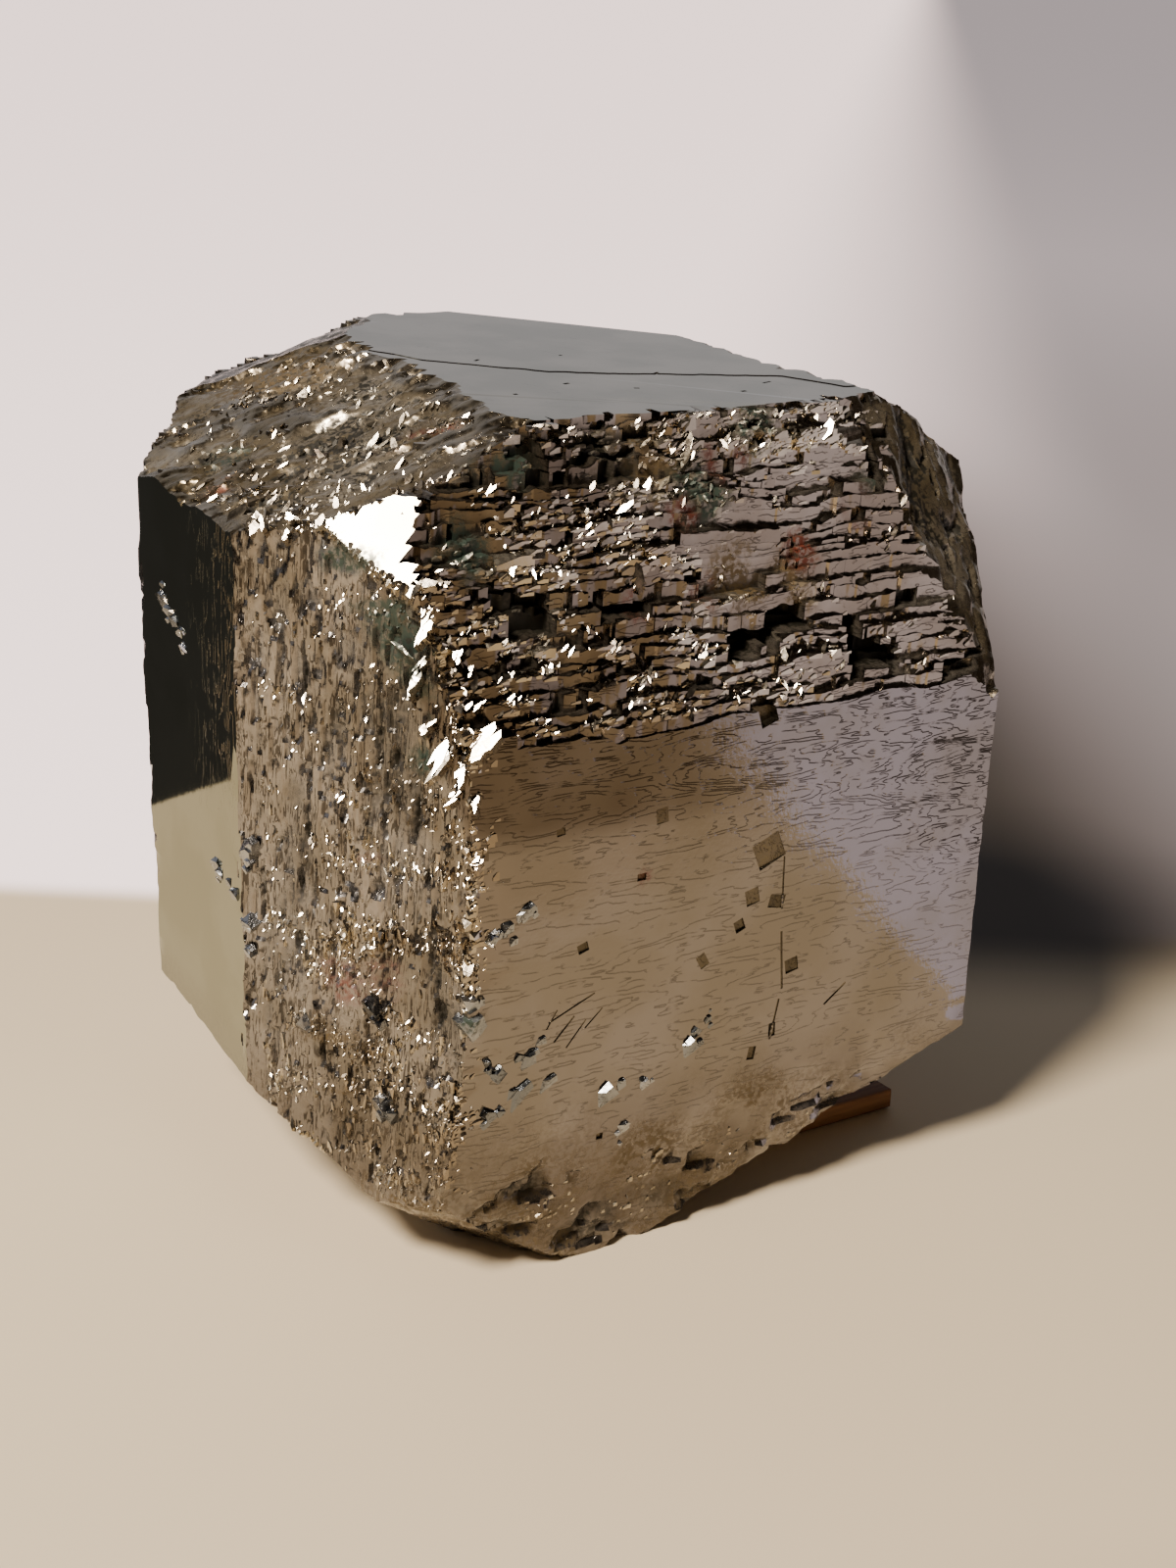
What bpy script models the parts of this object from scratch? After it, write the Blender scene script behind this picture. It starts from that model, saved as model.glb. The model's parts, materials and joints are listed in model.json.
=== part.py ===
# Pyrite crystal, about 96 x 84 x 99 mm, held level by a thin wooden shim under its right side.
# The crystal is a cube whose edges are bevelled by pyritohedron faces and whose corners are cut
# by small octahedron faces. Metres, +Z up, origin at the centre of the bottom of the crystal.
import math

import bmesh
import bpy
from mathutils import Matrix, Vector, noise

MM = 0.001

# ---- driving dimensions, in millimetres ----
BLOCK_SIZE = 260.0

# Each crystal face: the way it looks, and its distance from the origin.
FACES = {
    "top": ((0.0, 0.0, 1.0), 98.9),
    "front": ((0.0, -1.0, 0.0), 42.0),
    "left": ((-1.0, -0.012, -0.013), 46.9),
    "right": ((1.0, 0.0, 0.0), 48.58),
    "back": ((0.0, 1.0, 0.0), 43.2),
    "left_slope": ((-0.434, 0.003, 0.901), 99.0),
    "right_slope": ((0.524, 0.071, 0.849), 99.9),
    "left_ribs": ((-0.918, -0.396, 0.006), 49.1),
    "right_ribs": ((0.921, -0.387, 0.039), 55.2),
    "back_left_ribs": ((-0.781, 0.624, -0.034), 47.0),
    "back_right_ribs": ((0.894, 0.447, 0.0), 47.8),
    "front_steps": ((0.008, -0.878, 0.479), 69.7),
    "back_steps": ((0.0, 0.878, 0.479), 80.3),
    "back_foot": ((0.0, 0.894, -0.447), 24.7),
    "left_foot": ((-0.600, 0.090, -0.795), 14.8),
    "right_foot": ((0.363, 0.0, -0.932), -1.4),
    "front_foot": ((-0.129, -0.902, -0.412), 39.5),
    "corner_foot": ((-0.515, -0.409, -0.750), 26.9),
    "left_corner": ((-0.580, -0.544, 0.606), 91.2),
    "right_corner": ((0.306, -0.794, 0.525), 80.9),
    "right_corner_upper": ((0.444, -0.696, 0.564), 86.9),
    "back_left_corner": ((-0.295, 0.270, 0.917), 103.4),
    "back_right_corner": ((0.577, 0.578, 0.577), 80.1),
    "rest": ((0.0, 0.0, -1.0), 0.0),
}

# Relief on the rough faces: lines ruled across and down the face, and how deep it is worked.
LEDGES = {
    "front_steps": {"steps": 13, "columns": 36, "depth": 1.3, "sunk": 2.6},
    "back_steps": {"steps": 4, "columns": 14, "depth": 0.7, "sunk": 0.6},
    "back_foot": {"steps": 9, "columns": 20, "depth": 0.9, "sunk": 1.2},
}
LEDGE_DRIFT = 1.1           # how far a ledge wanders up or down, as a share of its height
RIBS = {
    "left_ribs": {"columns": 24, "rows": 22, "depth": 1.1},
    "right_ribs": {"columns": 14, "rows": 14, "depth": 0.8},
    "back_left_ribs": {"columns": 16, "rows": 14, "depth": 0.7},
    "back_right_ribs": {"columns": 18, "rows": 14, "depth": 0.8},
}
LUMPS = {
    "left_slope": {"columns": 26, "rows": 13, "depth": 2.8, "grain": 6.0, "stretch": 1.8},
    "right_slope": {"columns": 16, "rows": 10, "depth": 1.4, "grain": 5.0, "stretch": 1.8},
    "left_foot": {"columns": 24, "rows": 12, "depth": 2.4, "grain": 6.0, "stretch": 1.2},
    "right_foot": {"columns": 24, "rows": 17, "depth": 2.2, "grain": 8.0, "stretch": 1.3},
    "front_foot": {"columns": 10, "rows": 3, "depth": 1.0, "grain": 4.0, "stretch": 1.0},
    "corner_foot": {"columns": 12, "rows": 9, "depth": 1.3, "grain": 5.0, "stretch": 1.0},
    "back_left_corner": {"columns": 12, "rows": 9, "depth": 1.2, "grain": 6.0, "stretch": 2.0},
    "front_hem": {"columns": 22, "rows": 6, "depth": 1.1, "grain": 6.0, "stretch": 1.4},
}
HEM_HEIGHT = 15.0           # the front face is rough below this height

# The far part of the top stands a little proud; this is the line of that step, x and y.
TOP_STEP_DEPTH = 0.35
TOP_STEP_LINE = (
    (-40.0, 18.6), (-21.0, 17.4), (-17.3, 12.4), (-15.4, 8.3), (-9.1, 2.5), (-3.5, -1.9),
    (3.1, -4.9), (15.0, -8.6), (24.3, -12.3), (28.2, -19.1), (60.0, -22.0),
)

# Hollows: face, x and z of the middle, then width, height and depth, and the turn in degrees.
HOLLOWS = (
    ("front_steps", -26.2, 82.9, 6.4, 3.6, 3.2, 6),
    ("front_steps", -15.1, 80.0, 5.6, 2.2, 3.0, -4),
    ("front_steps", 2.2, 75.5, 7.2, 2.6, 4.2, 5),
    ("front_steps", 18.6, 71.9, 5.2, 5.2, 5.0, -8),
    ("front_steps", 24.0, 73.6, 4.6, 2.8, 4.0, 10),
    ("front_steps", 33.0, 70.2, 6.0, 1.9, 3.2, 0),
    ("front_steps", 3.3, 68.8, 2.6, 2.2, 2.2, 12),
    ("front_steps", 26.5, 91.5, 2.2, 5.0, 2.2, 14),
    ("front", -10.1, 57.4, 2.0, 1.7, 0.5, 12),
    ("front", -12.4, 50.2, 1.1, 0.9, 0.6, 0),
    ("front", 5.8, 50.1, 3.8, 3.4, 0.5, 24),
    ("front", 4.2, 44.4, 1.5, 1.5, 0.6, 20),
    ("front", 7.9, 42.0, 1.8, 1.4, 0.6, 10),
    ("front", 11.0, 34.0, 1.6, 1.5, 0.5, 0),
    ("front", -19.5, 43.0, 1.0, 1.0, 0.4, 8),
    ("front", -9.4, 22.6, 1.3, 1.6, 0.8, 20),
    ("left", -46.9, 47.5, 2.2, 3.0, 1.2, 10),
    ("back", 8.0, 66.0, 4.0, 3.0, 1.2, 12),
    ("back", -12.0, 50.0, 2.6, 2.2, 0.9, 30),
)

# Terraces cut back into the front face at its right edge: left end, height, band and depth.
TERRACES = (
    (12.0, 66.2, 1.6, 0.30), (22.0, 62.6, 1.5, 0.40), (30.0, 59.3, 1.9, 0.55),
    (26.0, 55.0, 1.3, 0.35), (35.0, 50.8, 2.4, 0.50), (38.5, 44.0, 2.0, 0.60),
)

# Small crystals grown on the faces: face, x, z, size across, how far it stands out, turn.
CRYSTALS = (
    ("front", -3.4, 26.1, 2.1, 1.0, 40),
    ("front", -14.6, 22.3, 3.0, 1.1, 38), ("front", -26.6, 23.6, 4.2, 1.2, 30),
    ("front", -26.0, 29.8, 2.4, 0.8, 15), ("front", -28.7, 48.2, 2.4, 1.0, 35),
    ("front", -25.6, 49.3, 1.6, 0.8, 10), ("front", -11.2, 17.6, 2.0, 0.8, 25),
    ("left", -47.9, 71.5, 2.6, 0.7, 20), ("left", -47.4, 43.5, 1.6, 0.7, 35),
    ("left", -47.3, 40.8, 1.5, 0.7, 5), ("right_ribs", 41.0, 62.0, 3.4, 0.9, 20),
    ("right_ribs", 45.0, 45.0, 2.4, 0.8, 50), ("back_left_ribs", -36.0, 72.0, 3.0, 1.0, 35),
)
CRYSTAL_TIP = 0.35          # how far each small crystal leans, in radians
LEFT_CRYSTALS_Y = 2.0       # where the small crystals and the pit of the left face sit

# The shim: a slip of wood lying on the table under the right foot.
SHIM_LEFT = 5.4
SHIM_RIGHT = 40.8
SHIM_FRONT = -30.5
SHIM_WIDTH = 21.0
SHIM_THICKNESS = 3.0
SHIM_EDGE = 0.3

# ---- colours ----
PYRITE_COLOUR = (0.42, 0.36, 0.26, 1.0)
WOOD_COLOUR = (0.42, 0.20, 0.09, 1.0)


def clear_scene():
    for item in list(bpy.data.objects):
        bpy.data.objects.remove(item, do_unlink=True)


def new_collection(name):
    collection = bpy.data.collections.new(name)
    bpy.context.scene.collection.children.link(collection)
    return collection


def new_material(name, colour, metallic, roughness):
    material = bpy.data.materials.new(name)
    material.use_nodes = True
    shader = material.node_tree.nodes["Principled BSDF"]
    shader.inputs["Base Color"].default_value = colour
    shader.inputs["Metallic"].default_value = metallic
    shader.inputs["Roughness"].default_value = roughness
    material.diffuse_color = colour
    return material


def new_object(name, bm, collection, material=None):
    mesh = bpy.data.meshes.new(name)
    bm.to_mesh(mesh)
    bm.free()
    item = bpy.data.objects.new(name, mesh)
    collection.objects.link(item)
    if material is not None:
        mesh.materials.append(material)
    return item


def outward(name):
    return Vector(FACES[name][0]).normalized()


def face_axes(name):
    """Level direction across a face, and the direction up the face."""
    normal = outward(name)
    start = Vector((0.0, 0.0, 1.0)).cross(normal)
    across = start.normalized() if start.length > 0.2 else Vector((1.0, 0.0, 0.0))
    return across, normal.cross(across)


def on_face(name, x, z):
    """The point of a face at x and at height z; the left face has one y for them all."""
    normal = outward(name)
    distance = FACES[name][1]
    if name == "left":
        y = LEFT_CRYSTALS_Y
        return Vector(((distance - normal.y * y - normal.z * z) / normal.x, y, z)) * MM
    return Vector((x, (distance - normal.x * x - normal.z * z) / normal.y, z)) * MM


def tagged(bm, tags, tag):
    return [face for face in bm.faces if face[tags] == tag]


def with_edges(faces):
    edges = {edge for face in faces for edge in face.edges}
    corners = {vert for face in faces for vert in face.verts}
    return list(faces) + list(edges) + list(corners)


def cut_planes(bm, tags, order):
    """Cut the block down by one plane for each face, and cap each cut."""
    for tag, name in enumerate(order):
        normal = outward(name)
        cut = bmesh.ops.bisect_plane(
            bm, geom=with_edges(bm.faces), dist=1e-7,
            plane_co=normal * FACES[name][1] * MM, plane_no=normal, clear_outer=True)
        rim = [item for item in cut["geom_cut"] if isinstance(item, bmesh.types.BMEdge)]
        for cap in bmesh.ops.contextual_create(bm, geom=rim)["faces"]:
            cap[tags] = tag


def rule(bm, tags, tag, direction, places):
    """Score a face with lines square to a direction, at the places given in metres."""
    for place in places:
        bmesh.ops.bisect_plane(
            bm, geom=with_edges(tagged(bm, tags, tag)), dist=1e-7,
            plane_co=direction * place, plane_no=direction)


def reach(bm, tags, tag, direction):
    spans = [direction.dot(vert.co) for face in tagged(bm, tags, tag) for vert in face.verts]
    return min(spans), max(spans)


def spaced(low, high, count):
    return [low + (high - low) * k / count for k in range(1, count)]


def inner_points(bm, tags, tag):
    points = {vert for face in tagged(bm, tags, tag) for vert in face.verts}
    return [vert for vert in points if all(face[tags] == tag for face in vert.link_faces)]


def wave(place, grain, seed):
    """Smooth noise from 0 to 1 over places in metres, with lumps of grain millimetres."""
    return 0.5 + 0.5 * noise.noise(place / (grain * MM) + Vector((seed, seed * 0.7, 0.0)))


def work_ledges(bm, tags, tag, name, steps, columns, depth, sunk):
    """Stairs of upright risers and level treads, whose lips lie on the face's plane."""
    across, up = face_axes(name)
    normal = outward(name)
    low, high = reach(bm, tags, tag, up)
    step = (high - low) / steps
    foot = abs(normal.y) * abs(normal.y)          # share of a step that its riser takes
    lips = [high - step * k for k in range(1, steps)]
    roots = [high - step * (k + foot) for k in range(steps)]
    rule(bm, tags, tag, up, lips + roots)
    rule(bm, tags, tag, across, spaced(*reach(bm, tags, tag, across), columns))
    for vert in inner_points(bm, tags, tag):
        along = across.dot(vert.co)
        fall = (high - up.dot(vert.co)) / step
        is_root = abs(fall - round(fall)) > 0.05
        stair = round(fall - 0.4)
        block = wave(Vector((along, stair * 0.003, 0.0)), 5.0, tag)
        deep = sunk * MM * max(0.0, block * 2.0 - 0.85)
        lift = wave(Vector((along, stair * 0.007, 1.0)), 3.0, tag + 9)
        deep += depth * MM * (0.6 + 0.6 * lift) if is_root else 0.35 * MM * lift
        drift = wave(Vector((along, stair * 0.011, 2.0)), 9.0, tag + 4) - 0.5
        vert.co += up * step * LEDGE_DRIFT * drift - normal * deep


def work_ribs(bm, tags, tag, name, columns, rows, depth):
    """Upright ribs: every other line of the face is sunk, more in some places than others."""
    across, up = face_axes(name)
    normal = outward(name)
    low, high = reach(bm, tags, tag, across)
    rule(bm, tags, tag, across, spaced(low, high, columns))
    rule(bm, tags, tag, up, spaced(*reach(bm, tags, tag, up), rows))
    for vert in inner_points(bm, tags, tag):
        line = round((across.dot(vert.co) - low) / (high - low) * columns)
        swell = wave(Vector((line * 0.004, up.dot(vert.co), 0.0)), 5.0, tag)
        share = 0.45 + 0.9 * swell if line % 2 else 0.35 * swell
        vert.co -= normal * depth * MM * share


def work_lumps(bm, tags, tag, name, columns, rows, depth, grain, stretch):
    """Lumpy growth, drawn out along the level direction of the face."""
    across, up = face_axes(name)
    normal = outward(name)
    rule(bm, tags, tag, across, spaced(*reach(bm, tags, tag, across), columns))
    rule(bm, tags, tag, up, spaced(*reach(bm, tags, tag, up), rows))
    for vert in inner_points(bm, tags, tag):
        place = Vector((across.dot(vert.co) / stretch, up.dot(vert.co), 0.0))
        coarse = wave(place, grain, tag)
        fine = wave(place, grain * 0.35, tag + 5)
        vert.co -= normal * depth * MM * (0.75 * coarse + 0.25 * fine)


def make_body(collection, material):
    bm = bmesh.new()
    tags = bm.faces.layers.int.new("crystal_face")
    order = list(FACES)
    bmesh.ops.create_cube(bm, size=BLOCK_SIZE * MM)
    cut_planes(bm, tags, order)
    hem = len(order)
    front = order.index("front")
    hem_line = Vector((0.0, 0.0, HEM_HEIGHT * MM))
    bmesh.ops.bisect_plane(
        bm, geom=with_edges(tagged(bm, tags, front)), dist=1e-7,
        plane_co=hem_line, plane_no=Vector((0.0, 0.0, 1.0)))
    for face in tagged(bm, tags, front):
        if face.calc_center_median().z < hem_line.z:
            face[tags] = hem
    for name, relief in LEDGES.items():
        work_ledges(bm, tags, order.index(name), name, **relief)
    for name, relief in RIBS.items():
        work_ribs(bm, tags, order.index(name), name, **relief)
    for name, relief in LUMPS.items():
        tag = hem if name == "front_hem" else order.index(name)
        work_lumps(bm, tags, tag, "front" if tag == hem else name, **relief)
    bmesh.ops.remove_doubles(bm, verts=bm.verts, dist=0.01 * MM)
    bmesh.ops.triangulate(bm, faces=[face for face in bm.faces if len(face.verts) == 4])
    return new_object("pyrite_crystal", bm, collection, material)


def add_box(bm, middle, name, width, height, thickness, turn):
    """A box lying on a crystal face, half in and half out, turned about the face's normal."""
    across, up = face_axes(name)
    frame = Matrix((across, up, outward(name))).transposed().to_4x4()
    size = Matrix.Diagonal((width * MM, height * MM, thickness * MM, 1.0))
    spin = Matrix.Rotation(math.radians(turn), 4, "Z")
    bmesh.ops.create_cube(
        bm, size=1.0, matrix=Matrix.Translation(middle) @ frame @ spin @ size)


def make_hollow_cutter(collection):
    bm = bmesh.new()
    for name, x, z, width, height, depth, turn in HOLLOWS:
        add_box(bm, on_face(name, x, z), name, width, height, depth * 2.0, turn)
    return new_object("hollow_cutter", bm, collection)


def make_terrace_cutter(collection):
    """Thin slabs that run out past the right edge of the front face."""
    bm = bmesh.new()
    far_end = FACES["right"][1] + 10.0
    for left, z, band, depth in TERRACES:
        middle = on_face("front", (left + far_end) / 2.0, z)
        add_box(bm, middle, "front", far_end - left, band, depth * 2.0, 1.5)
    return new_object("terrace_cutter", bm, collection)


def make_top_cutter(collection):
    """A slab over the near part of the top, bounded by the line of the step."""
    outline = list(TOP_STEP_LINE) + [(60.0, -60.0), (-70.0, -60.0), (-70.0, 18.6)]
    bm = bmesh.new()
    floor = (FACES["top"][1] - TOP_STEP_DEPTH) * MM
    points = [bm.verts.new((x * MM, y * MM, floor)) for x, y in outline]
    base = bm.faces.new(points)
    raised = bmesh.ops.extrude_face_region(bm, geom=[base])["geom"]
    lifted = [item for item in raised if isinstance(item, bmesh.types.BMVert)]
    bmesh.ops.translate(bm, verts=lifted, vec=(0.0, 0.0, 5.0 * MM))
    bmesh.ops.recalc_face_normals(bm, faces=bm.faces)
    return new_object("top_cutter", bm, collection)


def make_small_crystals(collection):
    """Small cubes, each tipped so that one corner stands out of the face it grows on."""
    bm = bmesh.new()
    for name, x, z, size, proud, turn in CRYSTALS:
        across, up = face_axes(name)
        frame = Matrix((across, up, outward(name))).transposed().to_4x4()
        tip = Matrix.Rotation(CRYSTAL_TIP, 4, Vector((turn, 30.0, 12.0)).normalized())
        stance = tip @ Matrix.Rotation(math.radians(turn), 4, "Z")
        reach_out = sum(abs(value) for value in stance[2][:3]) * size * 0.5
        middle = on_face(name, x, z) + outward(name) * (proud - reach_out) * MM
        bmesh.ops.create_cube(
            bm, size=size * MM, matrix=Matrix.Translation(middle) @ frame @ stance)
    return new_object("small_crystals", bm, collection)


def add_boolean(item, tool, operation):
    tool.hide_render = True
    tool.display_type = "WIRE"
    modifier = item.modifiers.new(tool.name, "BOOLEAN")
    modifier.object = tool
    modifier.operation = operation
    modifier.solver = "EXACT"


def make_shim(collection, material):
    """A flat slip of wood with broken edges and one snapped corner."""
    bm = bmesh.new()
    length = SHIM_RIGHT - SHIM_LEFT
    size = Matrix.Diagonal((length * MM, SHIM_WIDTH * MM, SHIM_THICKNESS * MM, 1.0))
    middle = Vector((SHIM_LEFT + length / 2.0, SHIM_FRONT + SHIM_WIDTH / 2.0, SHIM_THICKNESS / 2.0))
    bmesh.ops.create_cube(bm, size=1.0, matrix=Matrix.Translation(middle * MM) @ size)
    corner = Vector((SHIM_RIGHT - 1.5, SHIM_FRONT + SHIM_WIDTH - 1.0, 0.0)) * MM
    cut = bmesh.ops.bisect_plane(
        bm, geom=with_edges(bm.faces), dist=1e-7, plane_co=corner,
        plane_no=Vector((1.0, 0.45, 0.0)).normalized(), clear_outer=True)
    rim = [item for item in cut["geom_cut"] if isinstance(item, bmesh.types.BMEdge)]
    bmesh.ops.contextual_create(bm, geom=rim)
    shim = new_object("wooden_shim", bm, collection, material)
    bevel = shim.modifiers.new("worn_edges", "BEVEL")
    bevel.width = SHIM_EDGE * MM
    bevel.segments = 2
    bevel.limit_method = "ANGLE"
    return shim


def build():
    clear_scene()
    specimen = new_collection("pyrite_specimen")
    tools = new_collection("cutters")
    pyrite = new_material("pyrite", PYRITE_COLOUR, 1.0, 0.28)
    wood = new_material("wood", WOOD_COLOUR, 0.0, 0.6)
    crystal = make_body(specimen, pyrite)
    add_boolean(crystal, make_top_cutter(tools), "DIFFERENCE")
    add_boolean(crystal, make_terrace_cutter(tools), "DIFFERENCE")
    add_boolean(crystal, make_hollow_cutter(tools), "DIFFERENCE")
    add_boolean(crystal, make_small_crystals(tools), "UNION")
    make_shim(specimen, wood)


build()
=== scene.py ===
import functools
import itertools
import json
import math
import bpy
import numpy as np
from mathutils import Matrix, Vector

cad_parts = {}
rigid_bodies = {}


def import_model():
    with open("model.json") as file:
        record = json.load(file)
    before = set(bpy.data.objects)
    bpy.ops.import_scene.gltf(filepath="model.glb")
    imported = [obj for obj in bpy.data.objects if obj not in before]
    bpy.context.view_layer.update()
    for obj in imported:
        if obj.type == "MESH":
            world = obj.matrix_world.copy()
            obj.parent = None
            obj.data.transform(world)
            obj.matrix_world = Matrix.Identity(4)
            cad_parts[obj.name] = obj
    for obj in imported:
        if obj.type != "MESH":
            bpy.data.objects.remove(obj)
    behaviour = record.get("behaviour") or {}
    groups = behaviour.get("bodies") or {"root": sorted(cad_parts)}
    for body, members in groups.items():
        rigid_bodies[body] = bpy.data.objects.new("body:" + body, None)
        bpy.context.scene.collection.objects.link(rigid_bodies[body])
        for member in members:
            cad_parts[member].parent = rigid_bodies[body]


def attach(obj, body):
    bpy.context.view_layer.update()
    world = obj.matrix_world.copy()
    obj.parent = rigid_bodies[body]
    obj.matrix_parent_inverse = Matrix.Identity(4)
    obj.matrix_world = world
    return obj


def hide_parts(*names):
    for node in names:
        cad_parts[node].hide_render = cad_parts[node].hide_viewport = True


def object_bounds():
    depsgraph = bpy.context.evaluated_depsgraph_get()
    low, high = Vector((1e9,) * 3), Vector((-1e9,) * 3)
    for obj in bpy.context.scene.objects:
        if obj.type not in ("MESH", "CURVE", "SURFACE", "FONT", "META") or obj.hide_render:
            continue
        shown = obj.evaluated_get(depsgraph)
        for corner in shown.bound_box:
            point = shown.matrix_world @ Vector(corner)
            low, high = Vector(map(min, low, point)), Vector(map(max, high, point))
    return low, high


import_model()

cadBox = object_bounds()
mm = 0.001


# a fixed number from 0 to 1 for each pair of whole numbers: its bits, multiplied and folded
def dice(i, j, seed):
    i, j = np.asarray(i, np.int64), np.asarray(j, np.int64)
    a = i * 374761393 + j * 668265263 + seed * 974634777
    a = (a ^ (a >> 13)) & 0xFFFFFFFF
    a = (a * 1274126177) & 0xFFFFFFFF
    return ((a ^ (a >> 16)) & 0xFFFFFFFF) / 4294967295.0


# smooth noise from 0 to 1: the dice of four lattice points, joined by an s-curve
def swell(x, y, grain, seed):
    x, y = np.asarray(x, float) / grain, np.asarray(y, float) / grain
    i, j = np.floor(x), np.floor(y)
    u, v = x - i, y - j
    u, v = u * u * (3 - 2 * u), v * v * (3 - 2 * v)
    near = dice(i, j, seed) * (1 - u) + dice(i + 1, j, seed) * u
    far = dice(i, j + 1, seed) * (1 - u) + dice(i + 1, j + 1, seed) * u
    return near * (1 - v) + far * v


# three layers of smooth noise, each half as wide and half as strong as the one before
def rugged(x, y, grain, seed):
    return (swell(x, y, grain, seed) * 4 + swell(x, y, grain / 2, seed + 1) * 2
            + swell(x, y, grain / 4, seed + 2)) / 7


# a number for each brick: bands of one height, cut into bricks of uneven width
def bricks(x, y, width, height, seed):
    row = np.floor(y / height + 1.1 * swell(x, y, width * 2.5, seed + 3))
    return dice(np.floor(x / width + 7.3 * dice(row, 5, seed)), row, seed + 9)


# 0 below low, 1 above high, straight between; low may be the larger one
def between(value, low, high):
    return np.clip((value - low) / (high - low), 0, 1)


# way each face looks and its distance from the origin in mm, as in the solid
crystalFaces = {
    "top": ((0.0, 0.0, 1.0), 98.9),
    "front": ((0.0, -1.0, 0.0), 42.0),
    "left": ((-1.0, -0.012, -0.013), 46.9),
    "right": ((1.0, 0.0, 0.0), 48.58),
    "back": ((0.0, 1.0, 0.0), 43.2),
    "leftSlope": ((-0.434, 0.003, 0.901), 99.0),
    "rightSlope": ((0.524, 0.071, 0.849), 99.9),
    "leftRibs": ((-0.918, -0.396, 0.006), 49.1),
    "rightRibs": ((0.921, -0.387, 0.039), 55.2),
    "backLeftRibs": ((-0.781, 0.624, -0.034), 47.0),
    "backRightRibs": ((0.894, 0.447, 0.0), 47.8),
    "frontSteps": ((0.008, -0.878, 0.479), 69.7),
    "backSteps": ((0.0, 0.878, 0.479), 80.3),
    "backFoot": ((0.0, 0.894, -0.447), 24.7),
    "leftFoot": ((-0.600, 0.090, -0.795), 14.8),
    "rightFoot": ((0.363, 0.0, -0.932), -1.4),
    "frontFoot": ((-0.129, -0.902, -0.412), 39.5),
    "cornerFoot": ((-0.515, -0.409, -0.750), 26.9),
    "leftCorner": ((-0.580, -0.544, 0.606), 91.2),
    "rightCorner": ((0.306, -0.794, 0.525), 80.9),
    "rightCornerUpper": ((0.444, -0.696, 0.564), 86.9),
    "backLeftCorner": ((-0.295, 0.270, 0.917), 103.4),
    "backRightCorner": ((0.577, 0.578, 0.577), 80.1),
    "rest": ((0.0, 0.0, -1.0), 0.0),
}
# mm that a face's relief runs past its corners; a slab's half width and thickness
faceMargin, farOut, slabThickness = 3.0, 130.0, 220.0


# the unit directions across, up and out of a face, and its distance
def faceFrame(name):
    out = np.array(crystalFaces[name][0], float)
    out /= np.linalg.norm(out)
    across = np.cross([0.0, 0.0, 1.0], out)
    size = np.linalg.norm(across)
    across = across / size if size > 0.2 else np.array([1.0, 0.0, 0.0])
    return across, np.cross(out, across), out, crystalFaces[name][1]


faceNames = list(crystalFaces)
faceOuts = np.array([faceFrame(name)[2] for name in faceNames])
faceReaches = np.array([crystalFaces[name][1] for name in faceNames])


# mm that points lie under each face's plane, a column for each face
def underFaces(points):
    return faceReaches - points @ faceOuts.T


# corners of every face: points where three faces meet that no fourth cuts away
def findCorners():
    trios = np.array(list(itertools.combinations(range(len(faceNames)), 3)))
    trios = trios[np.abs(np.linalg.det(faceOuts[trios])) > 1e-3]
    points = np.linalg.solve(faceOuts[trios], faceReaches[trios][..., None])[..., 0]
    kept = (underFaces(points) >= -0.01).all(1)
    return {name: points[kept][(trios[kept] == k).any(1)] for k, name in enumerate(faceNames)}


faceCorners = findCorners()


# lines over a face, a little past its corners, at about the spacing asked for
def linesOver(name, acrossGap, upGap):
    flat = faceCorners[name] @ np.array(faceFrame(name)[:2]).T
    low, high = flat.min(0) - faceMargin, flat.max(0) + faceMargin
    counts = ((high - low) / (acrossGap, upGap)).astype(int) + 2
    return np.meshgrid(*map(np.linspace, low, high, counts), indexing="ij")


# points on a face's plane, or sunk under it, from mm across and up
def facePoints(name, u, w, sink=0.0):
    across, up, out, reach = faceFrame(name)
    return out * (reach - sink) + u[..., None] * across + w[..., None] * up


# 0 for points of a face outside the big corner face, rising to 1 from 1.2 mm inside it on
def clearOfCorner(name, u, w):
    inside = crystalFaces["leftCorner"][1] - facePoints(name, u, w) @ faceFrame("leftCorner")[2]
    return between(inside, 0, 1.2)


# an object that holds the data, in the scene
def placed(name, data):
    piece = bpy.data.objects.new(name, data)
    bpy.context.scene.collection.objects.link(piece)
    return piece


# mesh object from points in mm and faces of any length
def newPiece(name, points, faces, material):
    mesh = bpy.data.meshes.new(name)
    mesh.from_pydata(np.asarray(points) * mm, [], faces)
    mesh.materials.append(material)
    return placed(name, mesh)


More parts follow.
